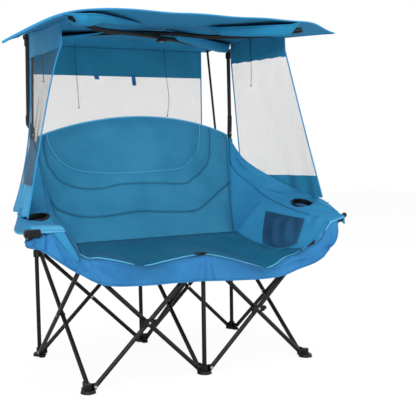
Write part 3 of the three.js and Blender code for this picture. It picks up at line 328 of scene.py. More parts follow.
def arc_map(points):
    """How far each grid point lies along its row and down its column, in metres: the map of the cloth."""
    across = np.linalg.norm(np.diff(points, axis=1), axis=-1)
    down = np.linalg.norm(np.diff(points, axis=0), axis=-1)
    along_row = np.concatenate([np.zeros((points.shape[0], 1)), across.cumsum(1)], 1)
    along_column = np.concatenate([np.zeros((1, points.shape[1])), down.cumsum(0)], 0)
    return np.stack([along_row - along_row.mean(1, keepdims=True), along_column], -1) / METRE


def surface(points, slot=0, seam=None, wrap=False):
    """One open part: a grid of points with its faces, map, and darkening for seams and painted shade."""
    rows, columns = points.shape[:2]
    shade = np.zeros((rows, columns)) if seam is None else seam
    faces = squares(rows, columns, wrap)
    return {"points": points.reshape(-1, 3), "faces": faces, "slot": np.full(len(faces), slot),
            "map": arc_map(points).reshape(-1, 2), "seam": shade.reshape(-1)}


def normals(points):
    """Unit normals of a grid: the cross product of its steps across and its steps down."""
    return unit(np.cross(np.gradient(points, axis=1), np.gradient(points, axis=0)))


def pad_shell(front, back, slot=0, seam=None):
    """A closed part: a front grid, a back grid turned round, and a rim that joins their edges."""
    rows, columns = front.shape[:2]
    count = rows * columns
    number = np.arange(count).reshape(rows, columns)
    border = np.concatenate([number[0, :-1], number[:-1, -1], number[-1, :0:-1], number[:0:-1, 0]])
    after = np.roll(border, -1)
    faces = squares(rows, columns)
    rim = np.stack([border, border + count, after + count, after], -1)
    faces = np.concatenate([faces, faces[:, ::-1] + count, rim])
    shade = np.zeros((rows, columns)) if seam is None else seam
    both = np.concatenate([front.reshape(-1, 3), back.reshape(-1, 3)])
    cloth_map = np.tile(arc_map(front).reshape(-1, 2), (2, 1))
    return {"points": both, "faces": faces, "slot": np.full(len(faces), slot), "map": cloth_map,
            "seam": np.tile(shade.reshape(-1), 2)}


def spokes(sides, side, up):
    """Unit vectors round a circle: cos a · side + sin a · up."""
    angle = np.linspace(0, 2 * math.pi, sides, endpoint=False)[:, None]
    return np.cos(angle) * side[..., None, :] + np.sin(angle) * up[..., None, :]


def tube(path, radius, sides=12, slot=0, reference=(0.0, 0.0, 1.0)):
    """A circle carried along a path: centre + r · spoke, closed to a point at each end."""
    path = np.asarray(path, float)
    along = unit(np.gradient(path, axis=0))
    side = unit(np.cross(along, np.asarray(reference, float)))
    up = np.cross(side, along)
    radii = np.broadcast_to(np.asarray(radius, float), (len(path),)).copy()
    order = np.concatenate([[0], np.arange(len(path)), [len(path) - 1]])
    radii = radii[order] * np.concatenate([[0], np.ones(len(path)), [0]])
    rings = radii[:, None, None] * spokes(sides, side[order], up[order])
    return surface(path[order][:, None] + rings, slot, wrap=True)


def turned(start, end, profile, sides=28, slot=0):
    """A shape turned on a lathe: radius r at distance t along the axis from start towards end."""
    start, end = np.asarray(start, float), np.asarray(end, float)
    axis = unit(end - start)
    helper = np.array([0.0, 0.0, 1.0]) if abs(axis[2]) < 0.9 else np.array([1.0, 0.0, 0.0])
    side = unit(np.cross(axis, helper))
    up = np.cross(axis, side)
    distance, radius = np.asarray(profile, float).T
    points = start + distance[:, None, None] * axis + radius[:, None, None] * spokes(sides, side, up)
    return surface(points, slot, wrap=True)


print("helpers for shapes ready")

# %% [markdown]
# Parts are joined into one piece, its doubled points are merged so that seams and poles close, and its
# normals are turned outward. The piece then rides on the body of the frame that carries it, and hides the
# plain CAD solid that it stands for.

# %% Make a piece
WELD = 2e-6
SHARP_ANGLE = math.radians(38)


def tidy_mesh(mesh):
    """Merges doubled points, drops faces without area and turns the normals outward."""
    editable = bmesh.new()
    editable.from_mesh(mesh)
    bmesh.ops.remove_doubles(editable, verts=editable.verts, dist=WELD)
    bmesh.ops.dissolve_degenerate(editable, dist=WELD / 4, edges=editable.edges)
    bmesh.ops.recalc_face_normals(editable, faces=editable.faces)
    editable.to_mesh(mesh)
    editable.free()


def piece(name, parts, finishes, body, replaced=(), thickness=0.0):
    """Joins parts into one mesh, gives it its finishes, and seats it on a body."""
    starts = np.cumsum([0] + [len(part["points"]) for part in parts[:-1]])
    faces = np.concatenate([part["faces"] + start for part, start in zip(parts, starts)])
    points, cloth_map, shade, slots = (np.concatenate([part[key] for part in parts])
                                       for key in ("points", "map", "seam", "slot"))
    mesh = bpy.data.meshes.new(name)
    mesh.from_pydata(to_row(points).tolist(), [], faces.tolist())
    corner = np.empty(len(mesh.loops), np.int32)
    mesh.loops.foreach_get("vertex_index", corner)
    mesh.uv_layers.new(name="cloth_metres").data.foreach_set("uv", cloth_map[corner].ravel())
    # Per point: how dark its seams and its painted shade make the cloth.
    mesh.attributes.new("seam", "FLOAT", "POINT").data.foreach_set("value", shade)
    mesh.polygons.foreach_set("material_index", slots.astype(np.int32))
    mesh.polygons.foreach_set("use_smooth", np.ones(len(mesh.polygons), bool))
    for finish in finishes:
        mesh.materials.append(finish)
    tidy_mesh(mesh)
    mesh.set_sharp_from_angle(angle=SHARP_ANGLE)
    made = bpy.data.objects.new(name, mesh)
    bpy.context.scene.collection.objects.link(made)
    if thickness:
        wall = made.modifiers.new("thickness", "SOLIDIFY")
        wall.thickness = thickness / METRE
        wall.offset = 0.0
    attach(made, body)
    if replaced:
        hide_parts(*replaced)
    return made


print("pieces are welded at", WELD * METRE, "mm")

# %% [markdown]
# A line is given as a few points, and a cubic through them makes it smooth. The slope at each
# point is half the step between its neighbours. A table of heights works the same way with uneven steps.

# %% Smooth lines
def through(knots, shares):
    """A cubic through every knot, at shares of the way from the first to the last."""
    knots = np.asarray(knots, float)
    last = len(knots) - 1
    place = np.clip(np.asarray(shares, float), 0, 1) * last
    index = np.minimum(place.astype(int), last - 1)
    t = (place - index)[..., None]
    before, here = knots[np.maximum(index - 1, 0)], knots[index]
    there, after = knots[index + 1], knots[np.minimum(index + 2, last)]
    return 0.5 * (2 * here + (there - before) * t + (2 * before - 5 * here + 4 * there - after) * t ** 2
                  + (3 * here - before - 3 * there + after) * t ** 3)


def heights(x, table):
    """A smooth height at each x through a table of (x, height) rows, held level beyond its ends."""
    xs, ys = np.asarray(table, float).T
    slopes = np.gradient(ys, xs)
    index = np.clip(np.searchsorted(xs, x) - 1, 0, len(xs) - 2)
    step = xs[index + 1] - xs[index]
    t = np.clip((x - xs[index]) / step, 0, 1)
    return ((1 + 2 * t) * (1 - t) ** 2 * ys[index] + t * (1 - t) ** 2 * step * slopes[index]
            + t ** 2 * (3 - 2 * t) * ys[index + 1] + t ** 2 * (t - 1) * step * slopes[index + 1])


def mix(low, high, share):
    """low + (high - low) · share."""
    return low + (high - low) * share


def smooth(share):
    """3 t^2 - 2 t^3, with t the share held between 0 and 1."""
    held = np.clip(share, 0, 1)
    return held ** 2 * (3 - 2 * held)


def line_distance(points, line):
    """Distance of every grid point to a line of short straight stretches."""
    nearest = np.full(points.shape[:-1], np.inf)
    for start, end in zip(line[:-1], line[1:]):
        stretch = end - start
        share = np.clip(((points - start) @ stretch) / max(stretch @ stretch, TINY), 0, 1)
        nearest = np.minimum(nearest, ((points - start - share[..., None] * stretch) ** 2).sum(-1))
    return np.sqrt(nearest)


def nearness(points, line, width):
    """1 on a line and falling off as a bell of the given width: e^(-(distance / width)^2)."""
    return np.exp(-(line_distance(points, line) / width) ** 2)


CREASE_STEPS = 24
FOLD_SHADE, FOLD_SHADE_WIDTH = 0.75, 3.4


def near_crease(points, knots, width):
    """Nearness of every grid point to the smooth line through a few knots."""
    return nearness(points, through(knots, np.linspace(0, 1, CREASE_STEPS)), width)


def creased(points, lines):
    """Pushes a grid along its normals: a bell of the given depth and width beside each crease line."""
    push = np.zeros(points.shape[:-1])
    for knots, width, depth in lines:
        push += depth * near_crease(points, knots, width)
    return points + normals(points) * push[..., None]


def fold_shade(points, lines):
    """Darkens the bottom of each crease that is pushed inward."""
    shade = np.zeros(points.shape[:-1])
    for knots, _, depth in lines:
        if depth < 0:
            shade += FOLD_SHADE * near_crease(points, knots, FOLD_SHADE_WIDTH)
    return shade


print("helpers for smooth lines ready")

# %% [markdown]
# The four tie cords hang from the roof in front of the curtains and would tie them up when rolled. A rope
# could be simulated, but a free cord has to lie where its CAD solid does. So each is a tube along the same
# points as in the part's source, and ends in a knot.

# %% Tie cords
CORD_DIAMETER, CORD_POINTS, KNOT_SIZE = 0.0022, 33, 1.9
SIDE_CORD = [(505, 117, 1412.4), (504, 116, 1350), (506, 113, 1300), (505, 110, 1250), (503, 109, 1186)]
REAR_LEFT_CORD = [(-250, 418, 1389.1), (-250, 421, 1340), (-246, 423, 1270), (-240, 424, 1190),
                  (-236, 424, 1100)]
REAR_RIGHT_CORD = [(206, 418, 1389.1), (211, 421, 1330), (220, 423, 1250), (232, 424, 1150), (222, 424, 1062)]
MIRRORED_CORD = [(-x, y, z) for x, y, z in SIDE_CORD]


def knot_part(centre, size):
    """An overhand knot: three lobes wound round a small ring."""
    turn = np.linspace(0, 2 * math.pi, 60)
    ring = size * (1.0 + 0.45 * np.cos(3 * turn))
    points = np.stack([ring * np.cos(2 * turn), 0.8 * size * np.sin(3 * turn), ring * np.sin(2 * turn)], -1)
    return tube(points + centre, size * 0.55, 8, reference=(0.1, 0.2, 1.0))


def tie_cord(name, route, body):
    """A hanging cord along a route, with a knot at its end."""
    path = through(route, np.linspace(0, 1, CORD_POINTS))
    cord = piece(name + "_braid", [tube(path, CORD_DIAMETER * METRE / 2, 10, reference=(1.0, 0.0, 0.0))],
                 [black_braid], body, [name])
    knot_centre = path[-1] + [0, 0, 1.0]
    knot = piece(name + "_knot", [knot_part(knot_centre, KNOT_SIZE)], [black_braid], body)
    return cord, knot


cords = [tie_cord("tie_cord_right", SIDE_CORD, "back_right_post"),
         tie_cord("tie_cord_left", MIRRORED_CORD, "back_left_post"),
         tie_cord("tie_cord_rear_left", REAR_LEFT_CORD, "back_middle_post"),
         tie_cord("tie_cord_rear_right", REAR_RIGHT_CORD, "back_middle_post")]

# %% [markdown]
# The frame is fourteen crossed bars, upright posts, arm tubes and canopy bars. A bar could be a cylinder,
# but the real ones have round plugged ends and domed rivets at their pins and crossings, so each is turned
# from a profile, with its rivets turned from another.

# %% Tube and rivet profiles
TUBE_RADIUS, PLANE_OFFSET = 9.0, 9.75
POST_SPACING, HALF_DEPTH = 500.0, 300.0
ROW_REACH, SIDE_REACH = 24.0, 36.0
LOW_PIN, HIGH_PIN = 22.0, 456.5
RIVET_SINK, PIN_HEAD, BACK_GAP, BACK_HEAD = 1.2, 2.6, 0.2, 2.0
SMALL_RIVET = (4.0, 2.0)
ARC_POINTS = 6
SIDES = (("left", -1), ("right", 1))


def round_ended(length, radius):
    """A tube's outline: a quarter circle, the straight wall and another quarter circle."""
    angle = np.linspace(0, math.pi / 2, ARC_POINTS)
    start = np.stack([-radius * np.cos(angle), radius * np.sin(angle)], -1)
    return np.concatenate([start, (start * [-1, 1])[::-1] + [length, 0]])


def square_ended(length, radius, edge=0.8):
    """A tube's outline with its two corners cut at 45 degrees."""
    return [(0, 0), (0, radius - edge), (edge, radius), (length - edge, radius), (length, radius - edge),
            (length, 0)]


def rivet(centre, direction, radius=6.0, height=3.0, slot=1):
    """A domed head: flat rim, then a low arc up to its top."""
    angle = np.linspace(0, math.pi / 2, ARC_POINTS)
    dome = np.stack([1.0 + (height - 1.0) * np.sin(angle), radius * np.cos(angle)], -1)
    profile = np.concatenate([[(-1.0, 0), (-1.0, radius)], dome])
    start = np.asarray(centre, float)
    return turned(start, start + np.asarray(direction, float), profile, 18, slot)


def bar(low_name, high_name, row, low, high, normal, side, carries_rivet):
    """One crossed bar with its pins' heads, and the crossing's two heads where it carries them."""
    low, high, normal = (np.asarray(v, float) for v in (low, high, normal))
    out = normal * side
    start, end = low + out * PLANE_OFFSET, high + out * PLANE_OFFSET
    wall = PLANE_OFFSET + TUBE_RADIUS
    middle = (low + high) / 2
    parts = [turned(start, end, round_ended(np.linalg.norm(end - start), TUBE_RADIUS))]
    for spot in (low, high, middle) if carries_rivet else (low, high):
        parts.append(rivet(spot + out * (wall - RIVET_SINK), out, height=PIN_HEAD))
    if carries_rivet:
        parts.append(rivet(middle - out * (wall + BACK_GAP), -out, height=BACK_HEAD))
    ends = f"{low_name}_to_{high_name}"
    return piece(f"bar_{row}_{ends}_tube", parts, [tube_paint, bright_rivet], f"{row}_bar_{ends}",
                 [f"bar_{row}_{ends}"])


COLUMNS = {"left": -1, "middle": 0, "right": 1}
ROWS = {"front": -1, "back": 1}
ROW_BARS = [("front", "left", "middle", -1, True), ("front", "middle", "left", 1, False),
            ("front", "middle", "right", -1, True), ("front", "right", "middle", 1, False),
            ("back", "left", "middle", 1, True), ("back", "middle", "left", -1, False),
            ("back", "middle", "right", -1, False), ("back", "right", "middle", 1, True)]
SIDE_BARS = [("left", "back", "front", -1, True), ("left", "front", "back", 1, False),
             ("right", "back", "front", 1, True), ("right", "front", "back", -1, False),
             ("middle", "back", "front", 1, True), ("middle", "front", "back", -1, False)]
for row, first, last, side, riveted in ROW_BARS:
    start, end, y = COLUMNS[first], COLUMNS[last], ROWS[row] * HALF_DEPTH
    lean = math.copysign(ROW_REACH, end - start)
    bar(first, last, row, (start * POST_SPACING + lean, y, LOW_PIN), (end * POST_SPACING - lean, y, HIGH_PIN),
        (0, 1, 0), side, riveted)
for column, first, last, side, riveted in SIDE_BARS:
    x, reach = COLUMNS[column] * POST_SPACING, ROWS[first] * (HALF_DEPTH - SIDE_REACH)
    bar(first, last, column, (x, reach, LOW_PIN), (x, -reach, HIGH_PIN), (1, 0, 0), side, riveted)
print(len(ROW_BARS) + len(SIDE_BARS), "crossed bars")

# %% [markdown]
# The upright posts are plain tubes. The outer back ones carry a clamp for the thin rear rod of the canopy,
# and the front centre one pokes through the cloth with a black cap on a flat plate. The clamp's block and the
# plate could be cubes with a bevel. They are lofted instead, from rounded outlines at a few heights, so that
# their corners come out as those of moulded plastic.

# %% Posts, rods and arm tubes
def tube_part(start, end, radius, slot=0, outline=square_ended):
    """A straight tube from start to end, with its ends cut as the outline says."""
    start, end = np.asarray(start, float), np.asarray(end, float)
    return turned(start, end, outline(np.linalg.norm(end - start), radius), slot=slot)


def rounded_block(centre, half, corner, slot=0, sides=40):
    """Rounded rectangles stacked upward: |x/a|^n + |y/b|^n = 1 with n = 6, drawn in at top and bottom."""
    angle = np.linspace(0, 2 * math.pi, sides, endpoint=False)
    spread = (np.abs(np.cos(angle)) ** 6 + np.abs(np.sin(angle)) ** 6) ** (-1 / 6)
    ring = np.stack([np.cos(angle) * spread, np.sin(angle) * spread], -1)
    inset = np.array([1.0, corner / min(half[:2]), corner / min(half[:2]) * 0.3, 0, 0])
    inset = np.concatenate([inset, inset[::-1]])
    level = np.array([-half[2], -half[2], -half[2] + corner * 0.3, -half[2] + corner, 0])
    level = np.concatenate([level, -level[::-1]])
    flat = ring[None] * (np.array(half[:2]) * (1 - inset[:, None])[:, None])
    points = np.concatenate([flat, np.broadcast_to(level[:, None, None], flat.shape[:2] + (1,))], -1)
    return surface(points + np.asarray(centre, float), slot, wrap=True)


ROD_BASE, ROD_TOP, ROD_RADIUS = np.array([487.0, 370.3, 738.0]), np.array([450.0, 420.0, 1388.0]), 5.5
CLAMP_LOW, CLAMP_HIGH, CLAMP_Y, CLAMP_RIVET_Y = 723.0, 768.0, 338.0, 330.0
CLAMP_MIDDLE = (CLAMP_LOW + CLAMP_HIGH) / 2
POST_FOOT, OUTER_POST_TOP, MIDDLE_POST_TOP = 3.0, 1008.0, 690.0
ARM_ROOT, ARM_TIP, ARM_TUBE_START = np.array([508.0, -300.0, 461.9]), np.array([712.0, -300.0, 600.0]), 8.0
PLUG_LENGTH, PLUG_RADIUS = 16.0, 11.0


def collar(x, y, radius, edge):
    """The part of the clamp that goes round a post or a rod."""
    profile = square_ended(CLAMP_HIGH - CLAMP_LOW, radius, edge)
    return turned((x, y, CLAMP_LOW), (x, y, CLAMP_HIGH), profile, slot=1)


for side, sign in SIDES:
    flip = np.array([sign, 1.0, 1.0])
    x, y = sign * POST_SPACING, HALF_DEPTH
    base, top = ROD_BASE * flip, ROD_TOP * flip
    web = rounded_block(((x + base[0]) / 2, CLAMP_Y, CLAMP_MIDDLE), (8, 32, 22), 2.5, 1)
    clamp = [collar(x, y, 14.0, 2.5), web, collar(base[0], base[1], 9.0, 2.0)]
    for aside in (-8.0, 6.0):
        out = (math.copysign(1, aside) * sign, 0, 0)
        clamp.append(rivet((x + aside * sign, CLAMP_RIVET_Y, CLAMP_MIDDLE), out, *SMALL_RIVET, 2))
    post = tube_part((x, y, POST_FOOT), (x, y, OUTER_POST_TOP), TUBE_RADIUS)
    piece(f"post_back_{side}_tube", [post] + clamp, [tube_paint, moulded, bright_rivet], f"back_{side}_post",
          [f"post_back_{side}"])
    piece(f"rear_rod_{side}_tube", [tube_part(base, top, ROD_RADIUS)], [tube_paint], f"back_{side}_post",
          [f"rear_rod_{side}"])
    root, tip = ARM_ROOT * flip, ARM_TIP * flip
    along = unit(tip - root)
    arm_tube = [tube_part(root + along * ARM_TUBE_START, tip, TUBE_RADIUS),
                tube_part(tip - along * PLUG_LENGTH, tip, PLUG_RADIUS, 1, round_ended)]
    piece(f"arm_tube_{side}_tube", arm_tube, [tube_paint, moulded], f"front_{side}_bracket",
          [f"arm_tube_{side}"])

piece("post_back_middle_tube", [tube_part((0, 300, POST_FOOT), (0, 300, MIDDLE_POST_TOP), TUBE_RADIUS)],
      [tube_paint], "back_middle_post", ["post_back_middle"])
CAP_PROFILE = [(0, 0), (0, 9.4), (0.4, 9.8), (11, 9.8), (12.6, 8.6), (13.6, 5.5), (13.9, 0)]
front_post = [tube_part((0, -300, POST_FOOT), (0, -300, 480), TUBE_RADIUS),
              turned((0, -300, 470.9), (0, -300, 490), CAP_PROFILE, slot=1),
              rounded_block((-9, -300, 487.9), (27, 7, 3.2), 2.5, 1)]
piece("post_front_middle_tube", front_post, [tube_paint, moulded], "front_middle_bracket",
      ["post_front_middle"])
print("posts, rods and arm tubes done")

# %% [markdown]
# Over the couplers stand the canopy posts. Each has a moulded head with a pin, on which one of the two
# canopy bars turns. The bars cross in the middle under a screw, with a round plate below it. A curve object
# could carry the slightly bowed bars. A grid of rings along the bow is used, as for the other tubes, because
# the roof and its pockets ask for the same line again.

# %% Canopy posts and bars
BAR_LEVEL = {-1: 1395.0, 1: 1375.5}
POST_HEAD = (506.0, 314.0)
FRONT_END = (516.0, -262.0)
crossing_share = POST_HEAD[0] / (POST_HEAD[0] + FRONT_END[0])
crossing_y = mix(POST_HEAD[1], FRONT_END[1], crossing_share)
BAR_BOW = {-1: [(0, 0), (0.5, -0.5), (0.58, -10), (0.66, -20), (0.76, -23), (0.88, -21), (0.95, -12),
                (1, -3)],
           1: [(0, 0), (0.5, 0), (0.62, -3), (0.75, -10), (0.88, -12), (0.95, -2), (1, 12)]}


def bar_path(sign, shares):
    """Straight on the plan from post head to front end, with the height following a bow table."""
    shares = np.asarray(shares, float)
    x = sign * mix(POST_HEAD[0], -FRONT_END[0], shares)
    y = mix(POST_HEAD[1], FRONT_END[1], shares)
    return np.stack([x, y, BAR_LEVEL[sign] + heights(shares, BAR_BOW[sign])], -1)


HEAD_DROP, HEAD_HEIGHT = 9.4, 30.0
HEAD_PROFILE = [(0, 0), (0, 11.5), (1.5, 13), (28, 13), (30, 11), (30, 0)]
PIN_PROFILE = [(0, 0), (0, 3), (19.2, 3), (19.2, 6), (20.6, 5.4), (21.2, 0)]
REAR_PLUG_PROFILE = [(0, 0), (0, 8), (2, 10.4), (12, 10.4), (12, 0)]
PLATE_PROFILE = [(0, 0), (0, 21), (1.5, 24), (6, 24), (7.4, 22), (7.4, 0)]
STEM_FOOT = (512, 317, 1016)
BAR_FINISHES = [tube_paint, moulded, bright_rivet]


def crossing_screw():
    """The plate under the crossing of the two canopy bars, the screw's heads and its shank."""
    low, high = BAR_LEVEL[1] - TUBE_RADIUS, BAR_LEVEL[-1] + HEAD_DROP
    below, above, under = ((0.0, crossing_y, z) for z in (low, high, low - 7))
    return [turned(under, below, PLATE_PROFILE, 36, 1), rivet(under, (0, 0, -1), 8.0, 2.2, 2),
            rivet((0.0, crossing_y, high - 0.2), (0, 0, 1), 8.0, 2.2, 2), tube_part(below, above, 3.0, 2)]


for side, sign in SIDES:
    level = BAR_LEVEL[sign]
    x, y = sign * POST_HEAD[0], POST_HEAD[1]
    seat_z = level - HEAD_DROP
    head = turned((x, y, seat_z - HEAD_HEIGHT), (x, y, seat_z), HEAD_PROFILE, slot=1)
    pin = turned((x, y, seat_z - 0.4), (x, y, level + 11.4), PIN_PROFILE, 18, 2)
    stem = tube_part((sign * STEM_FOOT[0],) + STEM_FOOT[1:], (x, y, seat_z - 8), TUBE_RADIUS)
    piece(f"canopy_post_{side}_tube", [stem, head] + ([pin] if sign < 0 else []), BAR_FINISHES,
          f"back_{side}_post", [f"canopy_post_{side}"])
    rear, tip = np.array([x, y, level]), np.array([-sign * FRONT_END[0], FRONT_END[1], level])
    along = unit(tip - rear)
    run = bar_path(sign, np.linspace(-0.005, 1, 60))
    parts = [tube(run, TUBE_RADIUS, 24), tube(run[-3:] + [0, 0, 0.2], [8.5, 11.5, 11.0], 24, 1)]
    parts += [pin] if sign > 0 else []
    parts.append(turned(rear - along * 17, rear - along * 5, REAR_PLUG_PROFILE, slot=1))
    parts += crossing_screw() if sign > 0 else []
    piece(f"canopy_bar_from_{side}_tube", parts, BAR_FINISHES, f"canopy_bar_{side}",
          [f"canopy_bar_from_{side}"])
print("canopy bars cross at y", round(float(crossing_y), 1), "mm")

# %% [markdown]
# The feet, the back brackets and the front middle bracket keep their CAD shape, which is right, and only get
# a finish. They could be drawn again, but that would add nothing. Their meshes are loose triangles, so a
# Weld modifier joins them and an Edge Split keeps their corners crisp.

# %% Finish of the kept CAD nodes
REDRAWN = ("bracket_front_left", "bracket_front_right")
JOIN_DISTANCE, CORNER_ANGLE = 1e-5, math.radians(30)
kept = [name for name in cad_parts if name.startswith(("foot_", "bracket_")) and name not in REDRAWN]
for name in kept:
    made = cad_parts[name]
    made.data.materials.clear()
    made.data.materials.append(moulded)
    made.data.polygons.foreach_set("use_smooth", np.ones(len(made.data.polygons), bool))
    made.modifiers.new("join", "WELD").merge_threshold = JOIN_DISTANCE
    made.modifiers.new("corners", "EDGE_SPLIT").split_angle = CORNER_ANGLE
print(len(kept), "moulded nodes kept")

# %% [markdown]
# A coupler is a bent sleeve that joins a canopy post to its back post with a small offset. It could be bent
# with a curve modifier, but a circle carried along the bend says the same in one line. The outer front
# brackets are low blocks, hidden in the cloth of the corners, so they are plainer and smaller than their
# solids.

# %% Couplers and front corner blocks
COUPLER_BEND = [(500, 300, 958), (500, 300, 992), (503, 304, 1003), (509, 313, 1016), (512, 317, 1027),
                (512, 317, 1060)]
COUPLER_RADIUS = 10.9
CORNER_HEIGHT = {-1: 466, 1: 428}
for side, sign in SIDES:
    bend = through(np.array(COUPLER_BEND, float) * [sign, 1, 1], np.linspace(0, 1, 40))
    button = rivet((sign * POST_SPACING, 289.6, 975), (0, -1, 0), *SMALL_RIVET, 1)
    piece(f"coupler_sleeve_{side}", [tube(bend, COUPLER_RADIUS, 24, 0, (0, 1, 0)), button],
          [moulded, bright_rivet], f"back_{side}_post", [f"coupler_{side}"])
    corner = rounded_block((sign * 503, -280, CORNER_HEIGHT[sign]), (22, 20, 14), 4.0)
    piece(f"corner_block_{side}", [corner], [moulded], f"front_{side}_bracket", [f"bracket_front_{side}"])
print("couplers and corner blocks done")

# %% [markdown]
# At each front crossing a flat moulded plate lies across the outer bar, with an ear at either end and a
# screw in the middle. A boolean could join its forms, but forms that only overlap look the same when they
# are all one black plastic: a rounded block, a smaller one behind it and a turned boss on each ear.

# %% Crossing plates
EAR_PROFILE = [(0, 0), (0, 8.5), (9, 8.5), (11, 7), (11, 0)]
for side, sign, body in (("left", -1, "front_bar_left_to_middle"), ("right", 1, "front_bar_middle_to_right")):
    spot = np.array([sign * POST_SPACING / 2, -321.0, 239.2])
    plate = [rounded_block(spot, (27, 3.5, 12), 2.0), rounded_block(spot + [0, 5, 0], (16, 4, 16), 2.0)]
    for ear in (-1, 1):
        lug = spot + [26.0 * ear, 2.0, 3.0 * ear]
        plate.append(turned(lug + [0, 3, 0], lug + [0, -8, 0], EAR_PROFILE, 24))
    plate.append(rivet(spot + [0, -3.4, 0], (0, -1, 0), 5.0, 2.2, 1))
    piece(f"crossing_plate_{side}", plate, [moulded, bright_rivet], body, [f"hub_front_{side}"])
print("crossing plates done")

# %% [markdown]
# The seat is one quilted pad slung between the frame, so its front edge hangs in two lobes with the centre
# post between them. It could be sculpted, but a formula can be corrected one number at a time: each point is
# a share across and a share forward. The pad is thicker away from its edges, which gives the crowned form of
# a stuffed cushion.

# %% Seat pad
SEAT_EDGE = [(-518, 519), (-480, 500), (-455, 500), (-395, 489), (-313, 466), (-276, 453), (-235, 454),
             (-164, 463), (-36, 475), (32, 473), (132, 449), (228, 419), (304, 398), (340, 403), (394, 430),
             (460, 446), (518, 468)]
SEAT_BACK_HALF, SEAT_FRONT_HALF = 352.0, 518.0
SEAT_BACK_Y, SEAT_FRONT_Y, SEAT_NOTCH = 33.0, -286.0, 8.0
SEAT_BACK_Z, SEAT_DISH = 520.0, 22.0
LEFT_SPREAD, RIGHT_SPREAD, RIGHT_SAG = 58.0, 14.0, 18.0
SEAT_PADDING, UNDERSIDE_SHARE = (5.0, 15.0, 42.0), 0.9
SEAM_PIPING, EDGE_PIPING, WIDE_PIPING = 1.8, 3.0, 3.4
# How dark the painted shade is in crevices between parts, and how dark the arms' knee seams are.
SEAM_AND_CREVICE_SHADE = 0.9
# Each crease: its points, its width and its depth. The grid's normals point down, so a positive one sinks.
SEAT_CREASES = [([(-330, -60, 500), (-290, -180, 480), (-276, -275, 455)], 16, 4),
                ([(300, -40, 495), (312, -170, 450), (306, -275, 400)], 16, 4),
                ([(60, 10, 505), (120, -130, 478), (190, -250, 430)], 12, 3),
                ([(-60, 10, 505), (-110, -130, 486), (-150, -250, 462)], 12, 3),
                ([(380, 0, 500), (420, -110, 472), (455, -210, 455)], 11, 4),
                ([(330, 15, 505), (380, -60, 484), (400, -150, 455)], 10, 3),
                ([(-380, 0, 508), (-430, -120, 492), (-455, -220, 490)], 11, 4)]


def corner_spread(across, away):
    """How far the cloth lies out beside the seat's rear corners: spread * across^3 * (1 - away)^1.2."""
    reach = np.clip(1 - away, 0, 1) ** 1.2
    return (LEFT_SPREAD * np.clip(-across, 0, 1) ** 3 - RIGHT_SPREAD * np.clip(across, 0, 1) ** 3) * reach


def seat_point(u, v):
    """Wider and lower towards the front, with a hollow: dish · sin(pi v)(1 - 0.3 across^4)."""
    across = 2 * u - 1
    x = across * mix(SEAT_BACK_HALF, SEAT_FRONT_HALF, v ** 1.15) - corner_spread(across, v)
    y = mix(SEAT_BACK_Y, SEAT_FRONT_Y + SEAT_NOTCH * (1 - np.abs(across)) ** 4, v)
    z = mix(SEAT_BACK_Z, heights(across * SEAT_FRONT_HALF, SEAT_EDGE), v ** 1.3)
    z = z - RIGHT_SAG * smooth((across - 0.45) / 0.55) * np.sin(math.pi * np.clip(v, 0, 1)) ** 0.8
    return np.stack([x, y, z - SEAT_DISH * np.sin(math.pi * v) * (1 - 0.3 * across ** 4)], -1)


def rim_distance(points):
    """How far each grid point is from the nearest edge of the grid, along the cloth."""
    place = arc_map(points) * METRE
    left = place[..., 0] - place[:, :1, 0]
    right = place[:, -1:, 0] - place[..., 0]
    top, bottom = place[..., 1], place[-1:, :, 1] - place[..., 1]
    return np.minimum(np.minimum(left, right), np.minimum(top, bottom))


def padding(distance, edge, crown, width):
    """Thickness from the edge to the crown: edge + crown(1 - e^(-(d/w)^2))."""
    return edge + crown * (1 - np.exp(-(distance / width) ** 2))


u, v = grid(200, 90)
middle = seat_point(u, v)
up = -normals(middle)
thick = padding(rim_distance(middle), *SEAT_PADDING)[..., None] / 2
seat_front = creased(middle + up * thick, SEAT_CREASES)
# Painted shade along the seat's rear edge, in the crevice under the backrest.
seat_crevice_shade = nearness(seat_front, middle[0], 14.0) * SEAM_AND_CREVICE_SHADE
seat_parts = [pad_shell(seat_front, middle - up * thick * UNDERSIDE_SHARE, 0, seat_crevice_shade),
              tube(seat_front[-1] + [0, -6.0, 1.5], EDGE_PIPING, 10, 1)]
seat_pad = piece("seat_pad", seat_parts, [seat_cloth_painted_shade, piping], "front_middle_bracket", ["seat_cushion"])
print("seat pad", seat_front.shape, "points a side")

# %% [markdown]
# The backrest is one wide panel that leans back and curves forward at its sides. Three sewn lines make its
# quilting: the upper one is a thin piping in a pale blue, the other two are sunk. A bump map could fake them,
# but their outline shows from the side. So the padding itself swells with the distance from the nearest
# seam, and the channels read as they do on a stuffed panel.

# %% Backrest
BACK_LOW_HALF, BACK_TOP_HALF = 352.0, 497.0
BACK_LOW_Y, BACK_TOP_Y, BACK_CURVE = 46.0, 262.0, 34.0
BACK_LOW_Z, BACK_TOP_Z, BACK_DROP = 510.0, 1050.0, 88.0
CORNER_PULL = 0.03
BACK_PADDING, REAR_PADDING, SEAM_PULL = (3.0, 10.5, 34.0), (3.0, 7.0, 40.0), 1.15


def back_point(u, v):
    """Wider towards the top with a power of the height; the sides lean back sooner than the middle."""
    across = 2 * u - 1
    corner = CORNER_PULL * across ** 6 * smooth((v - 0.86) / 0.14) ** 2
    x = across * mix(BACK_LOW_HALF, BACK_TOP_HALF, v ** 0.62) * (1 - corner) - corner_spread(across, v)
    lean = mix(0.82, 0.52, across ** 2)
    y = mix(BACK_LOW_Y, BACK_TOP_Y + BACK_CURVE * across ** 2, v ** lean)
    return np.stack([x, y, mix(BACK_LOW_Z, BACK_TOP_Z - BACK_DROP * across ** 2, v)], -1)


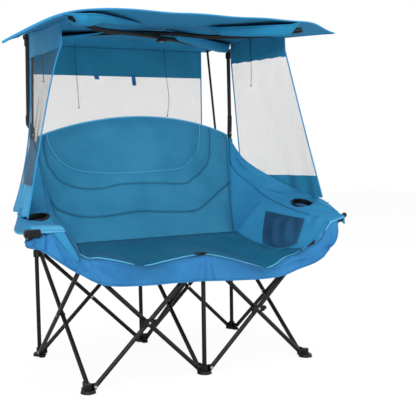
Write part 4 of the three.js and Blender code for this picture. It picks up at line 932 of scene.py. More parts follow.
UPPER_SEAM = [(-0.905, 1.0), (-0.885, 0.87), (-0.842, 0.75), (-0.77, 0.66), (-0.67, 0.605), (-0.51, 0.568),
              (-0.315, 0.545), (0.0, 0.542), (0.28, 0.56), (0.41, 0.593), (0.5, 0.662), (0.585, 0.755),
              (0.62, 0.9), (0.63, 1.0)]
MIDDLE_SEAM = [(-0.93, 0.99), (-0.94, 0.74), (-0.91, 0.64), (-0.865, 0.547), (-0.72, 0.463), (-0.52, 0.438),
               (-0.345, 0.453), (-0.015, 0.445), (0.365, 0.438), (0.49, 0.485), (0.605, 0.557),
               (0.71, 0.67), (0.74, 0.83), (0.75, 1.0)]
LOWER_SEAM = [(-1.0, 0.42), (-0.98, 0.36), (-0.94, 0.297), (-0.785, 0.225), (-0.55, 0.21), (-0.2, 0.225),
              (0.095, 0.208), (0.465, 0.208), (0.66, 0.283), (0.83, 0.39), (1.0, 0.5)]
RIGHT_SIDE_SEAM = [(0.93, 1.0), (0.945, 0.9), (0.952, 0.75), (0.958, 0.6), (0.965, 0.45), (0.975, 0.3),
                   (0.99, 0.15), (0.995, 0.0)]


def on_back(seam, count=90):
    """The points of a sewn line, given as shares across and up, on the middle surface of the back."""
    across, rise = through(np.array(seam), np.linspace(0, 1, count)).T
    return back_point((np.clip(across, -1, 1) + 1) / 2, np.clip(rise, 0, 1))


u, v = grid(230, 130)
middle = back_point(u, v)
forward = normals(middle)
forward *= -np.sign(forward[..., 1:2])
seams = [on_back(seam) for seam in (UPPER_SEAM, MIDDLE_SEAM, LOWER_SEAM)]
side_seam = on_back(RIGHT_SIDE_SEAM)
gap = rim_distance(middle)
for line in seams:
    gap = np.minimum(gap, line_distance(middle, line) * SEAM_PULL)
swell = padding(gap, *BACK_PADDING)[..., None]
# Each dark line of the back: where it runs, how wide and how dark it is. Along the seams the dark is
# the seam and painted shade in its channel; along the lower and the left edge it is painted shade
# where the back meets the seat and the arm.
back_lines = ((seams[1], 5.0, 0.85), (seams[2], 5.5, 0.95), (seams[0], 4.0, 0.35), (middle[0], 12.0, 0.5),
              (middle[:, 0], 9.0, 0.5), (side_seam, 4.5, 0.9))
back_seam_and_shade = sum(dark * nearness(middle, line, width) for line, width, dark in back_lines)
back_front = middle + forward * swell
back_rear = middle - forward * padding(rim_distance(middle), *REAR_PADDING)[..., None]
back_parts = [pad_shell(back_front, back_rear, 0, np.clip(back_seam_and_shade, 0, 1)),
              tube(seams[0] + [0, -5.2, 1.0], SEAM_PIPING, 8, 1, (0, 1, 0)),
              tube(middle[-1] + [0, -1.0, 2.0], WIDE_PIPING, 10, 1)]
back_pad = piece("back_pad", back_parts, [pad_cloth, piping], "back_middle_post", ["backrest"])
SLEEVE_PROFILE = [(0, 9.5), (0, 12.5), (2, 13.5), (96, 13.5), (98, 12.5), (98, 9.5), (0, 9.5)]
for side, sign in SIDES:
    foot = (sign * POST_SPACING, HALF_DEPTH)
    sleeve = turned(foot + (850,), foot + (948,), SLEEVE_PROFILE, 32)
    piece(f"post_sleeve_{side}", [sleeve], [pad_cloth], f"back_{side}_post")
print("backrest", back_front.shape, "points a side, upper seam", len(seams[0]), "points")

# %% [markdown]
# Each arm is a broad padded panel. It starts beside the backrest, runs down and forward past the seat,
# folds over a knee and ends in a hem outside. A box with a subdivision modifier would give a smooth pad, but
# not this twist. So four lines along it are blended from one side to the other, and the creases between them
# are then relaxed so that the cloth bends rather than folds.

# %% Arm lines
KNEE_RIGHT = [(486, 287, 940), (472, 236, 808), (526, 130, 716), (535, 40, 671), (550, -60, 638),
              (566, -180, 612), (622, -287, 584)]
OUTER_RIGHT = [(492, 289, 946), (536, 238, 853), (588, 160, 790), (646, 50, 730), (691, -60, 689),
               (703, -180, 657), (699, -286, 604)]
HEM_RIGHT = [(494, 290, 930), (540, 244, 806), (592, 164, 712), (656, 52, 640), (702, -60, 596),
             (712, -180, 574), (703, -285, 574)]
KNEE_LEFT = [(500, 284, 944), (488, 240, 820), (500, 150, 714), (530, 40, 676), (556, -60, 650),
             (568, -180, 627), (581, -286, 630)]
OUTER_LEFT = [(510, 287, 952), (548, 250, 850), (588, 160, 772), (632, 50, 706), (674, -60, 660),
              (706, -180, 640), (704, -286, 634)]
HEM_LEFT = [(512, 288, 936), (552, 254, 806), (592, 164, 706), (638, 52, 636), (690, -60, 612),
            (716, -180, 606), (716, -284, 612)]
ARM_LINES = {1: (KNEE_RIGHT, OUTER_RIGHT, HEM_RIGHT), -1: (KNEE_LEFT, OUTER_LEFT, HEM_LEFT)}
ARM_STATIONS = (0.0, 0.42, 0.78, 1.0)
ARM_THICKNESS = 7.0


def arm_inner(share, sign):
    """The edge of the arm that is sewn to the back for the first half and to the seat for the second."""
    edge = np.full_like(share, (1 + sign) / 2)
    back = back_point(edge, 0.94 * np.clip(1 - 2 * share, 0, 1) ** 1.3) * [sign, 1, 1]
    back = back + np.stack([np.full_like(share, -1.0), np.full_like(share, 2.0), -16 * share], -1)
    seat = seat_point(edge, np.clip(2 * share - 1, 0, 1)) * [sign, 1, 1]
    settle = np.clip((share - 0.5) / 0.1, 0, 1)
    seat = seat + np.stack([np.full_like(share, 1.0), 2 * (1 - settle), np.full_like(share, -8.0)], -1)
    return np.where((share <= 0.5)[..., None], back, seat)


def arm_point(u, v, sign):
    """Straight between the four lines: inner edge, knee, outer edge and hem; the left arm is turned over."""
    lines = [arm_inner(v, sign)] + [through(knots, v) for knots in ARM_LINES[sign]]
    result = np.array(lines[0])
    for index in range(3):
        local = np.clip((u - ARM_STATIONS[index]) / (ARM_STATIONS[index + 1] - ARM_STATIONS[index]), 0, 1)
        result = result + (lines[index + 1] - lines[index]) * local[..., None]
    return result * [sign, 1, 1]


def relaxed(points, rounds):
    """Moves each inner grid point a quarter of the way to its neighbours across, a number of times."""
    points = points.copy()
    for _ in range(rounds):
        points[:, 1:-1] = (points[:, :-2] + 2 * points[:, 1:-1] + points[:, 2:]) / 4
    return points


print("arm lines through", len(KNEE_RIGHT), "points each")

# %% [markdown]
# The arm's cloth lies flat round the cup hole, is creased along listed lines and has a short lip turned
# down at its front. The hole could be a boolean. Here the faces inside its circle are simply left out,
# because the cup ring covers the edge.

# %% Arm cloth
RING_CENTRE = {1: np.array([629.0, -108.0, 635.5]), -1: np.array([-615.0, -99.0, 642.0])}
RING_NORMAL = {1: unit(np.array([-0.04, -0.36, 1.0])), -1: unit(np.array([-0.19, -0.15, 1.0]))}
HOLE_RADIUS, FLAT_RADIUS, FADE = 45.0, 50.0, 12.0
LIP_STEPS = {1: [(-9, -1), (-17, -3), (-23, -6), (-26, -10)],
             -1: [(-9, -1), (-17, -5), (-22, -11), (-24, -17)]}
ARM_COLUMNS, ARM_ROWS = 84, 150
KNEE_COLUMN, BAND_END = 35, 66
KNEE_FADE_END = 0.95
PUFF_HEIGHT, HOLE_REACH = 5.0, 60
ARM_CREASES = {
    1: [([(474, 225, 806), (498, 190, 772), (526, 130, 722)], 9, 4),
        ([(500, 240, 850), (520, 200, 800), (560, 150, 760)], 10, -4),
        ([(512, 215, 838), (545, 190, 812), (572, 170, 800)], 7, 4),
        ([(560, 60, 700), (590, 0, 684), (612, -40, 664)], 12, -3),
        ([(590, -236, 598), (564, -236, 540), (532, -234, 478)], 9, 7),
        ([(606, -262, 590), (584, -262, 540), (556, -262, 492)], 9, -5),
        ([(600, -190, 622), (640, -240, 616), (680, -275, 606)], 9, 5),
        ([(650, -150, 650), (668, -220, 636), (690, -270, 616)], 9, -4),
        ([(470, 90, 560), (486, 60, 610), (500, 40, 650)], 12, -3),
        ([(440, 180, 700), (452, 190, 750), (462, 205, 790)], 12, -3)],
    -1: [([(-548, -20, 660), (-590, -50, 666), (-640, -60, 664)], 11, -6),
         ([(-556, -60, 652), (-562, -130, 640), (-568, -200, 628)], 7, 5),
         ([(-585, 20, 690), (-610, -10, 684), (-640, -30, 676)], 11, 4),
         ([(-690, -150, 640), (-700, -200, 620), (-706, -230, 600)], 9, -4),
         ([(-520, 90, 700), (-535, 30, 690), (-548, -10, 668)], 10, 4),
         ([(-440, 150, 680), (-452, 170, 740), (-470, 200, 800)], 12, -3),
         ([(-505, -180, 540), (-525, -220, 575), (-545, -250, 600)], 10, 4)]}


def seated(points, centre, normal):
    """Draws the cloth onto the plane of the cup ring near it, fading out with distance."""
    offset = points - centre
    height = offset @ normal
    aside = np.linalg.norm(offset - height[..., None] * normal, axis=-1)
    return points - normal * (height * smooth((FLAT_RADIUS + FADE - aside) / FADE))[..., None]


def arm_part(sign):
    """The cloth of one arm with its puffs, creases, flat round the cup, lip and hole."""
    u, v = grid(ARM_COLUMNS, ARM_ROWS)
    points = relaxed(arm_point(u, v, sign), 6)
    knee = points[:, KNEE_COLUMN]
    puff = (np.sin(math.pi * np.clip((u - 0.42) / 0.36, 0, 1)) ** 0.7
            + 0.8 * np.sin(math.pi * np.clip(u / 0.42, 0, 1)))
    facing = normals(points)
    facing *= np.sign(facing[60, 50, 2])
    points = points + facing * (PUFF_HEIGHT * puff * np.sin(math.pi * v) ** 0.4)[..., None]
    points = creased(points, ARM_CREASES[sign])
    up = RING_NORMAL[sign]
    points = seated(points, RING_CENTRE[sign], up)
    points = np.concatenate([points, [points[-1] + [0, y, z] for y, z in LIP_STEPS[sign]]])
    knee = np.concatenate([knee, points[ARM_ROWS:, KNEE_COLUMN]])
    knee_fade = smooth((KNEE_FADE_END - np.linspace(0, 1, len(points))[:, None]) / 0.1)
    # Painted shade in the inward creases and along the inner edge, where the arm meets the back and the seat;
    # the knee gets a dark seam line.
    shade = fold_shade(points, ARM_CREASES[sign]) + SEAM_AND_CREVICE_SHADE * nearness(points, knee, 3.6) * knee_fade
    shade += SEAM_AND_CREVICE_SHADE * nearness(points, points[:, 0], 7)
    flat = surface(points, 0, np.clip(shade, 0, 1))
    centres = flat["points"][flat["faces"]].mean(1) - RING_CENTRE[sign]
    aside = np.linalg.norm(centres - (centres @ up)[:, None] * up, axis=1)
    keep = (aside > HOLE_RADIUS) | (np.abs(centres @ up) > HOLE_REACH)
    flat["faces"], flat["slot"] = flat["faces"][keep], flat["slot"][keep]
    return flat, points


for side, sign in SIDES:
    cloth_part, points = arm_part(sign)
    arm = piece(f"arm_pad_{side}", [cloth_part], [arm_cloth], f"front_{side}_bracket", [f"arm_{side}"],
                thickness=ARM_THICKNESS)
    edge_rows = points[-len(LIP_STEPS[sign]) - 2:, 2:BAND_END]
    band = surface(edge_rows + unit(np.array([0.0, -0.7, 0.7])) * 4.2, 2)
    front = tube(points[-1, :BAND_END] + [0, -3.0, 0], EDGE_PIPING, 10, 1, (0, 1, 0))
    hem = tube(points[:, -1] + [sign * 1.0, 0, -1.0], WIDE_PIPING, 10, 1)
    # The left arm's front band takes the paler copy of the band cloth: painted light.
    piece(f"arm_trim_{side}", [band, hem, front], [outer_cloth, piping, painted_light_band if sign < 0 else arm_cloth],
          f"front_{side}_bracket", thickness=0.9)
    print(f"arm {side}", points.shape)

# %% [markdown]
# At the left front corner the arm's cloth is folded over and hangs down in front of the skirt as a slanting
# strip. A cloth simulation could fold it, but two edge lines and a slight bulge between them give the same
# form each time.

# %% Fold at the left front corner
FOLD_OUTER = [(-630, -333, 615), (-606, -333, 582), (-572, -333, 537), (-541, -333, 500)]
FOLD_INNER = [(-577, -331, 613), (-560, -331, 578), (-544, -331, 547), (-529, -331, 510)]
u, v = grid(24, 60)
fold = mix(through(FOLD_OUTER, v), through(FOLD_INNER, v), u[..., None])
fold[..., 1] -= 5 * np.sin(math.pi * u) * np.sin(math.pi * v) ** 0.5
fold_shadow = smooth((u - 0.74) / 0.1) + 0.5 * (1 - smooth(u / 0.08))
piece("arm_front_fold_left", [surface(fold, 0, np.clip(fold_shadow, 0, 1))], [arm_cloth],
      "front_left_bracket", thickness=1.6)
print("fold", fold.shape)

# %% [markdown]
# The left arm tube ends in a ribbed plastic block, and a small loop of tape is sewn to the outer edge of
# the right arm. An array modifier could repeat the ribs, but a loop over six places is as short. Block and
# ribs are lofted from rounded outlines, and the tape is a thin tube along an oval.

# %% Arm tube block and tape loop
block = rounded_block((-699, -312, 613), (30, 14, 14), 5.0)
ribs = [rounded_block((-723 + 9.5 * k, -312, 613), (2.2, 15.2, 15.2), 2.0) for k in range(6)]
piece("arm_tube_block_left", [block] + ribs, [moulded], "front_left_bracket")
turn = np.linspace(0, math.pi * 2, 25)
loop_path = np.stack([696 + 9 * np.sin(turn / 2) ** 2, -196 + 8 * np.cos(turn), 648 - 3 * np.cos(turn)], -1)
piece("tape_loop_right", [tube(loop_path, 2.2, 8)], [piping], "front_right_bracket")
print("block and tape loop made")

# %% [markdown]
# A cup ring is a moulded rim that grips the hole in the arm, with a cloth well hanging below it. A screw
# modifier could turn both. The ring is a plain turned profile, but the well has to change from the tilt of
# the arm to a steeper axis of its own, so its circles are worked out one by one, with soft upright folds.

# %% Cup rings and wells
RING_PROFILE = [(-12, 40), (-12, 46.2), (-11.4, 46.6), (4.4, 46.6), (4.4, 50.4), (5.2, 51), (7.4, 50.6),
                (9.4, 48.5), (10.2, 45.5), (9.8, 42.6), (8.6, 40.6), (6.4, 40), (-12, 40)]
RING_LIFT = 3
WELL_DEPTH = np.array([-8.0, -12, -40, -80, -104, -109, -110.4, -110.6, -108.8, -104, -80, -40, -12, -8.0])
WELL_RADIUS = np.array([42.6, 43, 42, 40.5, 39.4, 37, 30, 0.0, 30, 35.6, 38.4, 39.6, 41, 41.4])
WELL_SIDES, WELL_FOLDS, WELL_FOLD, SETTLE_DEPTH = 72, 8, 0.018, 90
WELL_AXIS = unit(np.array([-0.05, -0.158, 0.985]))


def well_part(centre, rim_up, axis):
    """A cone of cloth: its rim lies in the ring's plane and its floor across its own, steeper axis."""
    angle = np.linspace(0, 2 * math.pi, WELL_SIDES, endpoint=False)
    rings = []
    for up in (rim_up, axis):
        helper = unit(np.cross(up, [1.0, 0.0, 0.0]))
        rings.append(spokes(WELL_SIDES, np.cross(up, helper), helper))
    folds = 1 - WELL_FOLD * (1 + np.cos(WELL_FOLDS * angle)) * (WELL_DEPTH[:, None] < -30)
    spoke = mix(rings[0][None], rings[1][None], smooth(-WELL_DEPTH / SETTLE_DEPTH)[:, None, None])
    reach = (WELL_RADIUS[:, None] * folds)[..., None] * spoke
    return surface(centre + WELL_DEPTH[:, None, None] * axis + reach, wrap=True)


for side, sign in SIDES:
    centre, up = RING_CENTRE[sign], RING_NORMAL[sign]
    body = f"front_{side}_bracket"
    ring = turned(centre + RING_LIFT * up, centre + (RING_LIFT + 1) * up, RING_PROFILE, WELL_SIDES)
    piece(f"cup_rim_{side}", [ring], [moulded], body, [f"cup_ring_{side}"])
    piece(f"cup_cloth_{side}", [well_part(centre, up, WELL_AXIS * [sign, 1, 1])], [outer_cloth], body,
          [f"cup_well_{side}"])
print("cup rims and wells done")

# %% [markdown]
# The front skirt is a light cloth apron. It starts under the seat's piping, turns over the front and hangs
# to a curved hem, with a pleat in the middle where the centre post lifts it. A cloth simulation would choose
# its own folds, and the photograph shows where they lie. So its top and hem follow listed lines, each
# crease has a line of its own, and gentle upright folds grow towards the hem.

# %% Front skirt
SKIRT_TOP = [(-724, -300, 588), (-702, -304, 594), (-668, -308, 606), (-626, -310, 614), (-584, -310, 611),
             (-569, -310, 600), (-549, -312, 558), (-526, -324, 522), (-505, -325, 512), (-478, -308, 504),
             (-395, -290, 492), (-313, -290, 470), (-240, -290, 457), (-164, -290, 466), (-80, -292, 474),
             (-30, -310, 479), (0, -313, 481), (28, -310, 478), (70, -292, 467), (140, -290, 451),
             (228, -290, 422), (304, -290, 402), (345, -290, 408), (394, -290, 434), (446, -306, 450),
             (472, -325, 470), (504, -325, 481), (530, -326, 490), (560, -322, 508), (580, -318, 528),
             (614, -313, 575), (662, -309, 587)]
SKIRT_HEM = [(-724, -300, 584), (-708, -312, 567), (-668, -322, 551), (-625, -326, 520), (-560, -328, 474),
             (-520, -330, 450), (-488, -330, 430), (-456, -330, 414), (-420, -330, 404), (-370, -330, 397),
             (-300, -330, 391), (-235, -330, 389), (-160, -330, 388), (-80, -330, 386), (0, -330, 383),
             (70, -330, 378), (140, -330, 371), (220, -330, 368), (304, -330, 366), (360, -330, 371),
             (425, -330, 385), (500, -330, 404), (560, -332, 428), (602, -330, 456), (636, -328, 488),
             (652, -324, 526), (658, -316, 558), (664, -310, 578)]
SKIRT_CREASES = [([(-2, -331, 470), (-6, -338, 430), (-8, -340, 388)], 5, 5),
                 ([(10, -331, 470), (22, -338, 430), (30, -340, 384)], 5, 5),
                 ([(-14, -331, 470), (-30, -338, 432), (-44, -340, 388)], 5, 4),
                 ([(24, -330, 466), (60, -336, 430), (110, -336, 400)], 9, 4),
                 ([(30, -330, 464), (110, -334, 428), (220, -334, 410)], 10, 4),
                 ([(-28, -330, 468), (-110, -334, 448), (-230, -334, 440)], 9, 4),
                 ([(-480, -320, 490), (-440, -332, 460), (-390, -334, 425)], 9, 5),
                 ([(-505, -318, 498), (-490, -330, 460), (-465, -334, 425)], 7, -5),
                 ([(-556, -312, 565), (-540, -322, 520), (-510, -330, 465)], 8, 7),
                 ([(-590, -312, 595), (-570, -322, 540), (-545, -330, 485)], 8, -6),
                 ([(-625, -310, 600), (-605, -322, 560), (-580, -328, 505)], 7, 5),
                 ([(-648, -306, 610), (-650, -320, 585), (-655, -325, 550)], 6, 8),
                 ([(-690, -306, 605), (-690, -318, 588), (-700, -318, 570)], 8, -5),
                 ([(612, -308, 555), (624, -318, 520), (612, -326, 470)], 7, 7),
                 ([(640, -306, 570), (652, -316, 540), (640, -322, 505)], 8, -4),
                 ([(548, -308, 472), (570, -322, 462), (600, -328, 470)], 7, 6),
                 ([(540, -306, 470), (545, -322, 448), (570, -330, 435)], 6, -5),
                 ([(330, -310, 402), (400, -325, 408), (480, -330, 425)], 9, 5),
                 ([(150, -310, 440), (240, -325, 404), (330, -330, 390)], 8, 5),
                 ([(420, -308, 435), (470, -322, 428), (530, -330, 436)], 8, -4)]


def skirt_point(u, v):
    """From the top line forward and down to the hem line, with folds that grow as 1 - cos and a pleat."""
    top, hem = through(SKIRT_TOP, u), through(SKIRT_HEM, u)
    points = mix(top, hem, v[..., None])
    bow = np.sin(math.pi * np.clip(v / 0.3, 0, 1) / 2)
    points[..., 1] = mix(top[..., 1], hem[..., 1], np.clip(bow * 0.75 + 0.25 * v, 0, 1))
    x, inward = points[..., 0], smooth((690 - np.abs(points[..., 0])) / 60)
    fold = 3.0 * v * (1 - np.cos(2 * math.pi * x / 150))
    fold = fold + 9 * np.clip(3 * v, 0, 1) * np.exp(-(x / 60) ** 2)
    wave = 2.4 * v ** 1.5 * np.sin(x / 37 + 1.3 * np.sin(x / 91))
    points[..., 1] -= (fold + wave) * inward
    return points


CREASE_GROWTH = 1.5
# Where the painted shade under the seat's two lobes is centred, and how wide it is.
LOBES = ((-235, 105), (235, 120))
u, v = grid(360, 44)
deeper = [(knots, width, CREASE_GROWTH * depth) for knots, width, depth in SKIRT_CREASES]
skirt_mid = creased(skirt_point(u, v), deeper)
# Painted shade in the inward creases, under the seat's piping along the top and under the seat's two lobes,
# strongest near the top; also a thin dark line above the hem.
skirt_shade = fold_shade(skirt_mid, SKIRT_CREASES) + 0.5 * nearness(skirt_mid, skirt_mid[-3], 2.5)
skirt_shade += 0.8 * nearness(skirt_mid, skirt_mid[0], 9)
shade_under_lobes = sum(np.exp(-((skirt_mid[..., 0] - lobe_x) / width) ** 2) for lobe_x, width in LOBES)
skirt_shade += 0.6 * shade_under_lobes * (1 - v) ** 0.6
skirt_parts = [surface(skirt_mid, 0, np.clip(skirt_shade, 0, 1)),
               tube(skirt_mid[-1], SEAM_PIPING, 8, 0, (0, 1, 0))]
skirt = piece("skirt_cloth", skirt_parts, [outer_cloth], "front_middle_bracket", ["front_skirt"],
              thickness=2.2)


def sheet_facts(points):
    """The longest row and column of a sheet and its area, in metres."""
    across = np.linalg.norm(np.diff(points, axis=1), axis=-1).sum(1).max() / METRE
    down = np.linalg.norm(np.diff(points, axis=0), axis=-1).sum(0).max() / METRE
    first, second = points[1:, 1:] - points[:-1, :-1], points[1:, :-1] - points[:-1, 1:]
    area = np.linalg.norm(np.cross(first, second), axis=-1).sum() / 2 / METRE ** 2
    print("sheet", round(across, 3), "x", round(down, 3), "m, area", round(area, 3), "m2")
    return (round(float(across), 3), round(float(down), 3)), round(float(area), 4)


flat, area = sheet_facts(skirt_mid)

# %% [markdown]
# A dark net pocket is sewn inside the right arm. It stands a little off the cloth and sags in the middle,
# and a strip of binding closes its upper edge. It could be modelled by itself and moved into place, but here
# it is worked out from shares of the arm's own surface, so it follows the arm wherever that goes.

# %% Net pocket
POCKET_LOW = [(0.02, 0.700), (0.006, 0.770), (0.006, 0.836), (0.05, 0.900), (0.085, 0.918)]
POCKET_HIGH = [(0.304, 0.589), (0.325, 0.665), (0.340, 0.740), (0.355, 0.815), (0.365, 0.883)]
POCKET_GAP, WIDE_BINDING = 9, 2.6
u, v = grid(34, 80)
pocket_share = mix(through(POCKET_LOW, v), through(POCKET_HIGH, v), u[..., None])
pocket_mid = arm_point(pocket_share[..., 0], pocket_share[..., 1], 1)
inward = normals(pocket_mid)
inward *= -np.sign(inward[30, 15, 0])
sag = np.sin(math.pi * u) ** 0.7 * np.sin(math.pi * v) ** 0.7
folds = 0.5 + 0.5 * np.cos(6 * math.pi * v + 0.9 * np.sin(math.pi * u))
pocket_mid = pocket_mid + inward * (POCKET_GAP + 5 * sag + 12 * sag * folds)[..., None]
pocket = piece("pocket_cloth", [surface(pocket_mid)], [pocket_net], "front_right_bracket",
               ["net_pocket_right"], thickness=1.2)
pocket_edges = [(pocket_mid[:, -1], WIDE_BINDING, 10)]
pocket_edges += [(edge, 1.6, 8) for edge in (pocket_mid[:, 0], pocket_mid[0], pocket_mid[-1])]
pocket_trim = piece("pocket_binding", [tube(*edge) for edge in pocket_edges], [band_cloth],
                    "front_right_bracket")
flat, area = sheet_facts(pocket_mid)

# %% [markdown]
# The canopy is one sheet stretched over the crossed bars. It is highest along its front, drops at the rear
# edge and droops at its side wings, more on the left. A cloth simulation could stretch it, but the
# photograph fixes its outline, so its height is a formula of the place on the plan. The sheet bulges a little
# between the bars, and its edge is bound in a paler strip.

# %% Canopy roof
ROOF_REAR_Y, ROOF_FRONT_Y, ROOF_TIP_Y = 450.0, -264.0, -188.0
ROOF_REAR_HALF, ROOF_POST_HALF, ROOF_TIP_HALF, ROOF_WING = 466.0, 520.0, 748.0, 540.0
ROOF_REAR_Z, ROOF_STEP, ROOF_STEP_SPAN, ROOF_RISE = 1384.0, 24.2, 90.0, 18.0
ROOF_DROOP = {-1: 128.0, 1: 24.0}
CURL_START, CURL_POWER = 330.0, 2.05


def roof_half(y):
    """Half the width of the roof: from the rear edge out to the posts, then on to the tips."""
    post_y = POST_HEAD[1]
    behind = mix(ROOF_POST_HALF, ROOF_REAR_HALF, (y - post_y) / (ROOF_REAR_Y - post_y))
    before = mix(ROOF_POST_HALF, ROOF_TIP_HALF, (post_y - y) / (post_y - ROOF_TIP_Y))
    return np.where(y > post_y, behind, before)


def roof_z(x, y):
    """The height of the sheet: a step up from the rear edge, a rise to the front and a droop at the sides."""
    before_post = POST_HEAD[1] - y
    step = ROOF_STEP * smooth((ROOF_REAR_Y - y) / ROOF_STEP_SPAN)
    rise = ROOF_RISE * np.clip(before_post / (POST_HEAD[1] - ROOF_FRONT_Y), 0, 1)
    outside = np.clip((np.abs(x) - ROOF_POST_HALF) / (ROOF_TIP_HALF - ROOF_POST_HALF), 0, 1)
    droop = np.where(x < 0, ROOF_DROOP[-1], ROOF_DROOP[1]) * outside ** 1.25
    curl = np.clip((np.abs(x) - CURL_START) / (ROOF_TIP_HALF - CURL_START), 0, 1) ** CURL_POWER
    droop = np.where(x < 0, mix(droop, ROOF_DROOP[-1] * curl, smooth(before_post / 300)), droop)
    return ROOF_REAR_Z + step + rise - droop


def roof_point(u, v):
    """A share across and a share forward; the front edge is cut back towards the tips of the wings."""
    across = 2 * u - 1
    side_y, middle_y = mix(ROOF_REAR_Y, ROOF_TIP_Y, v), mix(ROOF_REAR_Y, ROOF_FRONT_Y, v)
    x = across * roof_half(side_y)
    outer = smooth((np.abs(x) - ROOF_WING) / (ROOF_TIP_HALF - ROOF_WING))
    y = mix(middle_y, side_y, outer)
    return np.stack([x, y, roof_z(x, y)], -1)


def bar_gap(x, y):
    """Distance on the plan from the nearer of the two canopy bars."""
    distances = []
    for sign in (-1, 1):
        start = np.array([sign * POST_HEAD[0], POST_HEAD[1]])
        end = np.array([-sign * FRONT_END[0], FRONT_END[1]])
        along = unit(end - start)
        offset = np.stack([x, y], -1) - start
        distances.append(np.abs(offset[..., 0] * along[1] - offset[..., 1] * along[0]))
    return np.minimum(*distances)


BULGE, BULGE_SPAN, FRONT_WAVE, REAR_SEAM_ROW = 5.0, 90.0, 1.6, 18
u, v = grid(240, 120)
roof_mid = roof_point(u, v)
x, y = roof_mid[..., 0], roof_mid[..., 1]
inside = np.clip((ROOF_POST_HALF + 60 - np.abs(x)) / 120, 0, 1)
stretch = 1 - np.exp(-(bar_gap(x, y) / BULGE_SPAN) ** 2)
roof_mid[..., 2] += BULGE * inside * stretch * np.sin(math.pi * np.clip(v, 0, 1)) ** 0.5
roof_mid[..., 2] += FRONT_WAVE * np.sin(x / 47 + 0.8 * np.sin(y / 60)) * smooth((v - 0.6) / 0.4)
roof_seam = nearness(roof_mid, roof_mid[REAR_SEAM_ROW, ::3], 3.0) * 0.5
front_binding = mix(4.2, 2.4, smooth((u[-1] - 0.05) / 0.3))
roof_edges = [(roof_mid[-1], front_binding), (roof_mid[:, 0], 2.4), (roof_mid[:, -1], 2.4),
              (roof_mid[0], 2.0)]
roof_parts = [surface(roof_mid, 0, roof_seam)] + [tube(edge, radius, 10, 1) for edge, radius in roof_edges]
roof = piece("roof_cloth_sheet", roof_parts, [roof_cloth, trim_cloth], "back_middle_post", ["canopy_roof"],
             thickness=2.0)
flat, area = sheet_facts(roof_mid)

# %% [markdown]
# Long pockets are sewn under the roof, and the tips of the bars slide into them. They could be cut out of the
# roof's own sheet, but then its edge would be torn open. So each pocket is a trough of cloth of its own along
# its bar, open on one side, which gives the dark lens shapes under the corners.

# %% Bar pockets
def pocket_trough(sign, first, last, reach, near_gap, taper):
    """A strip under a bar from share first to last: deep in the middle, its far edge sewn to the roof."""
    u, v = grid(70, 18)
    line = bar_path(sign, mix(first, last, u))
    along = unit(line[0, -1] - line[0, 0])
    aside = np.array([along[1], -along[0], 0.0]) * np.sign(along[0])
    blunt = np.clip(2.4 * np.sin(math.pi * u), 0, 1)
    tapered = smooth(u / 0.14) * np.cos(math.pi / 2 * np.clip((u - 0.3) / 0.7, 0, 1)) ** 0.8
    fill = mix(blunt, tapered, taper)
    side = (2 * v - 1) * reach * fill
    x, y = line[..., 0] + aside[0] * side, line[..., 1] + aside[1] * side
    top = roof_z(x, y) - 3.0
    deep = np.maximum(top - line[..., 2] + TUBE_RADIUS + 5, 6)
    deep = deep * mix(1.0, 0.5, taper * smooth((u - 0.12) / 0.3))
    hang = deep * fill * (1 - np.abs(2 * v - 1) ** 3) + near_gap * fill * smooth(2 * v - 1)
    return np.stack([x, y, top - hang], -1)


POCKET_RUNS = {"front_left": (1, 1.02, 0.62, 52.0, 16.0, 1.0),
               "front_right": (-1, 1.0, 0.66, 44.0, 16.0, 0.35),
               "rear_left": (-1, 0.02, 0.30, 44.0, 22.0, 0.7),
               "rear_right": (1, -0.01, 0.46, 44.0, 18.0, 0.25)}
roof_pockets = []
for name, run in POCKET_RUNS.items():
    trough = pocket_trough(*run)
    parts = [surface(trough)] + [tube(trough[edge], SEAM_PIPING, 8) for edge in (-1, 0)]
    made = piece(f"roof_pocket_{name}", parts, [roof_cloth], "back_middle_post", thickness=1.6)
    flat, area = sheet_facts(trough)
    roof_pockets.append(made)

# %% [markdown]
# The curtains hang from the edges of the roof. Each has a band of closed cloth at the top, net below, and a
# pale binding down its sides. Band and net could be two sheets, but one sheet can't come apart at the seam:
# the faces above a line on it take the band cloth. The rear curtain hangs straight, with soft upright waves,
# and carries two small tabs of cloth.

# %% Rear curtain
REAR_LEFT, REAR_RIGHT, REAR_Y, REAR_LOW_Z, REAR_BAND_Z = -470.0, 426.0, 446.0, 730.0, 1252


def roof_seam_z(x, y):
    """Just under the roof, where a curtain is sewn to it."""
    return roof_z(x, y) - 2.0


def face_middles(part):
    """The mean of the four corners of every face."""
    return part["points"][part["faces"]].mean(1)


def bindings(points, slot, hem_radius):
    """The bound edges of a curtain: both sides, then the hem."""
    sides = [tube(points[:, edge], WIDE_BINDING, 8, slot, (1, 0, 0)) for edge in (0, -1)]
    return sides + [tube(points[-1], hem_radius, 8, slot)]


def strip(x_left, x_right, z_top, z_low):
    """A flat tab of cloth that slants a little sideways and curls forward at its lower end."""
    u, v = grid(10, 16)
    return np.stack([mix(x_left, x_right, u) + 4 * v, REAR_Y - 3 - 3 * v ** 2, mix(z_top, z_low, v)], -1)


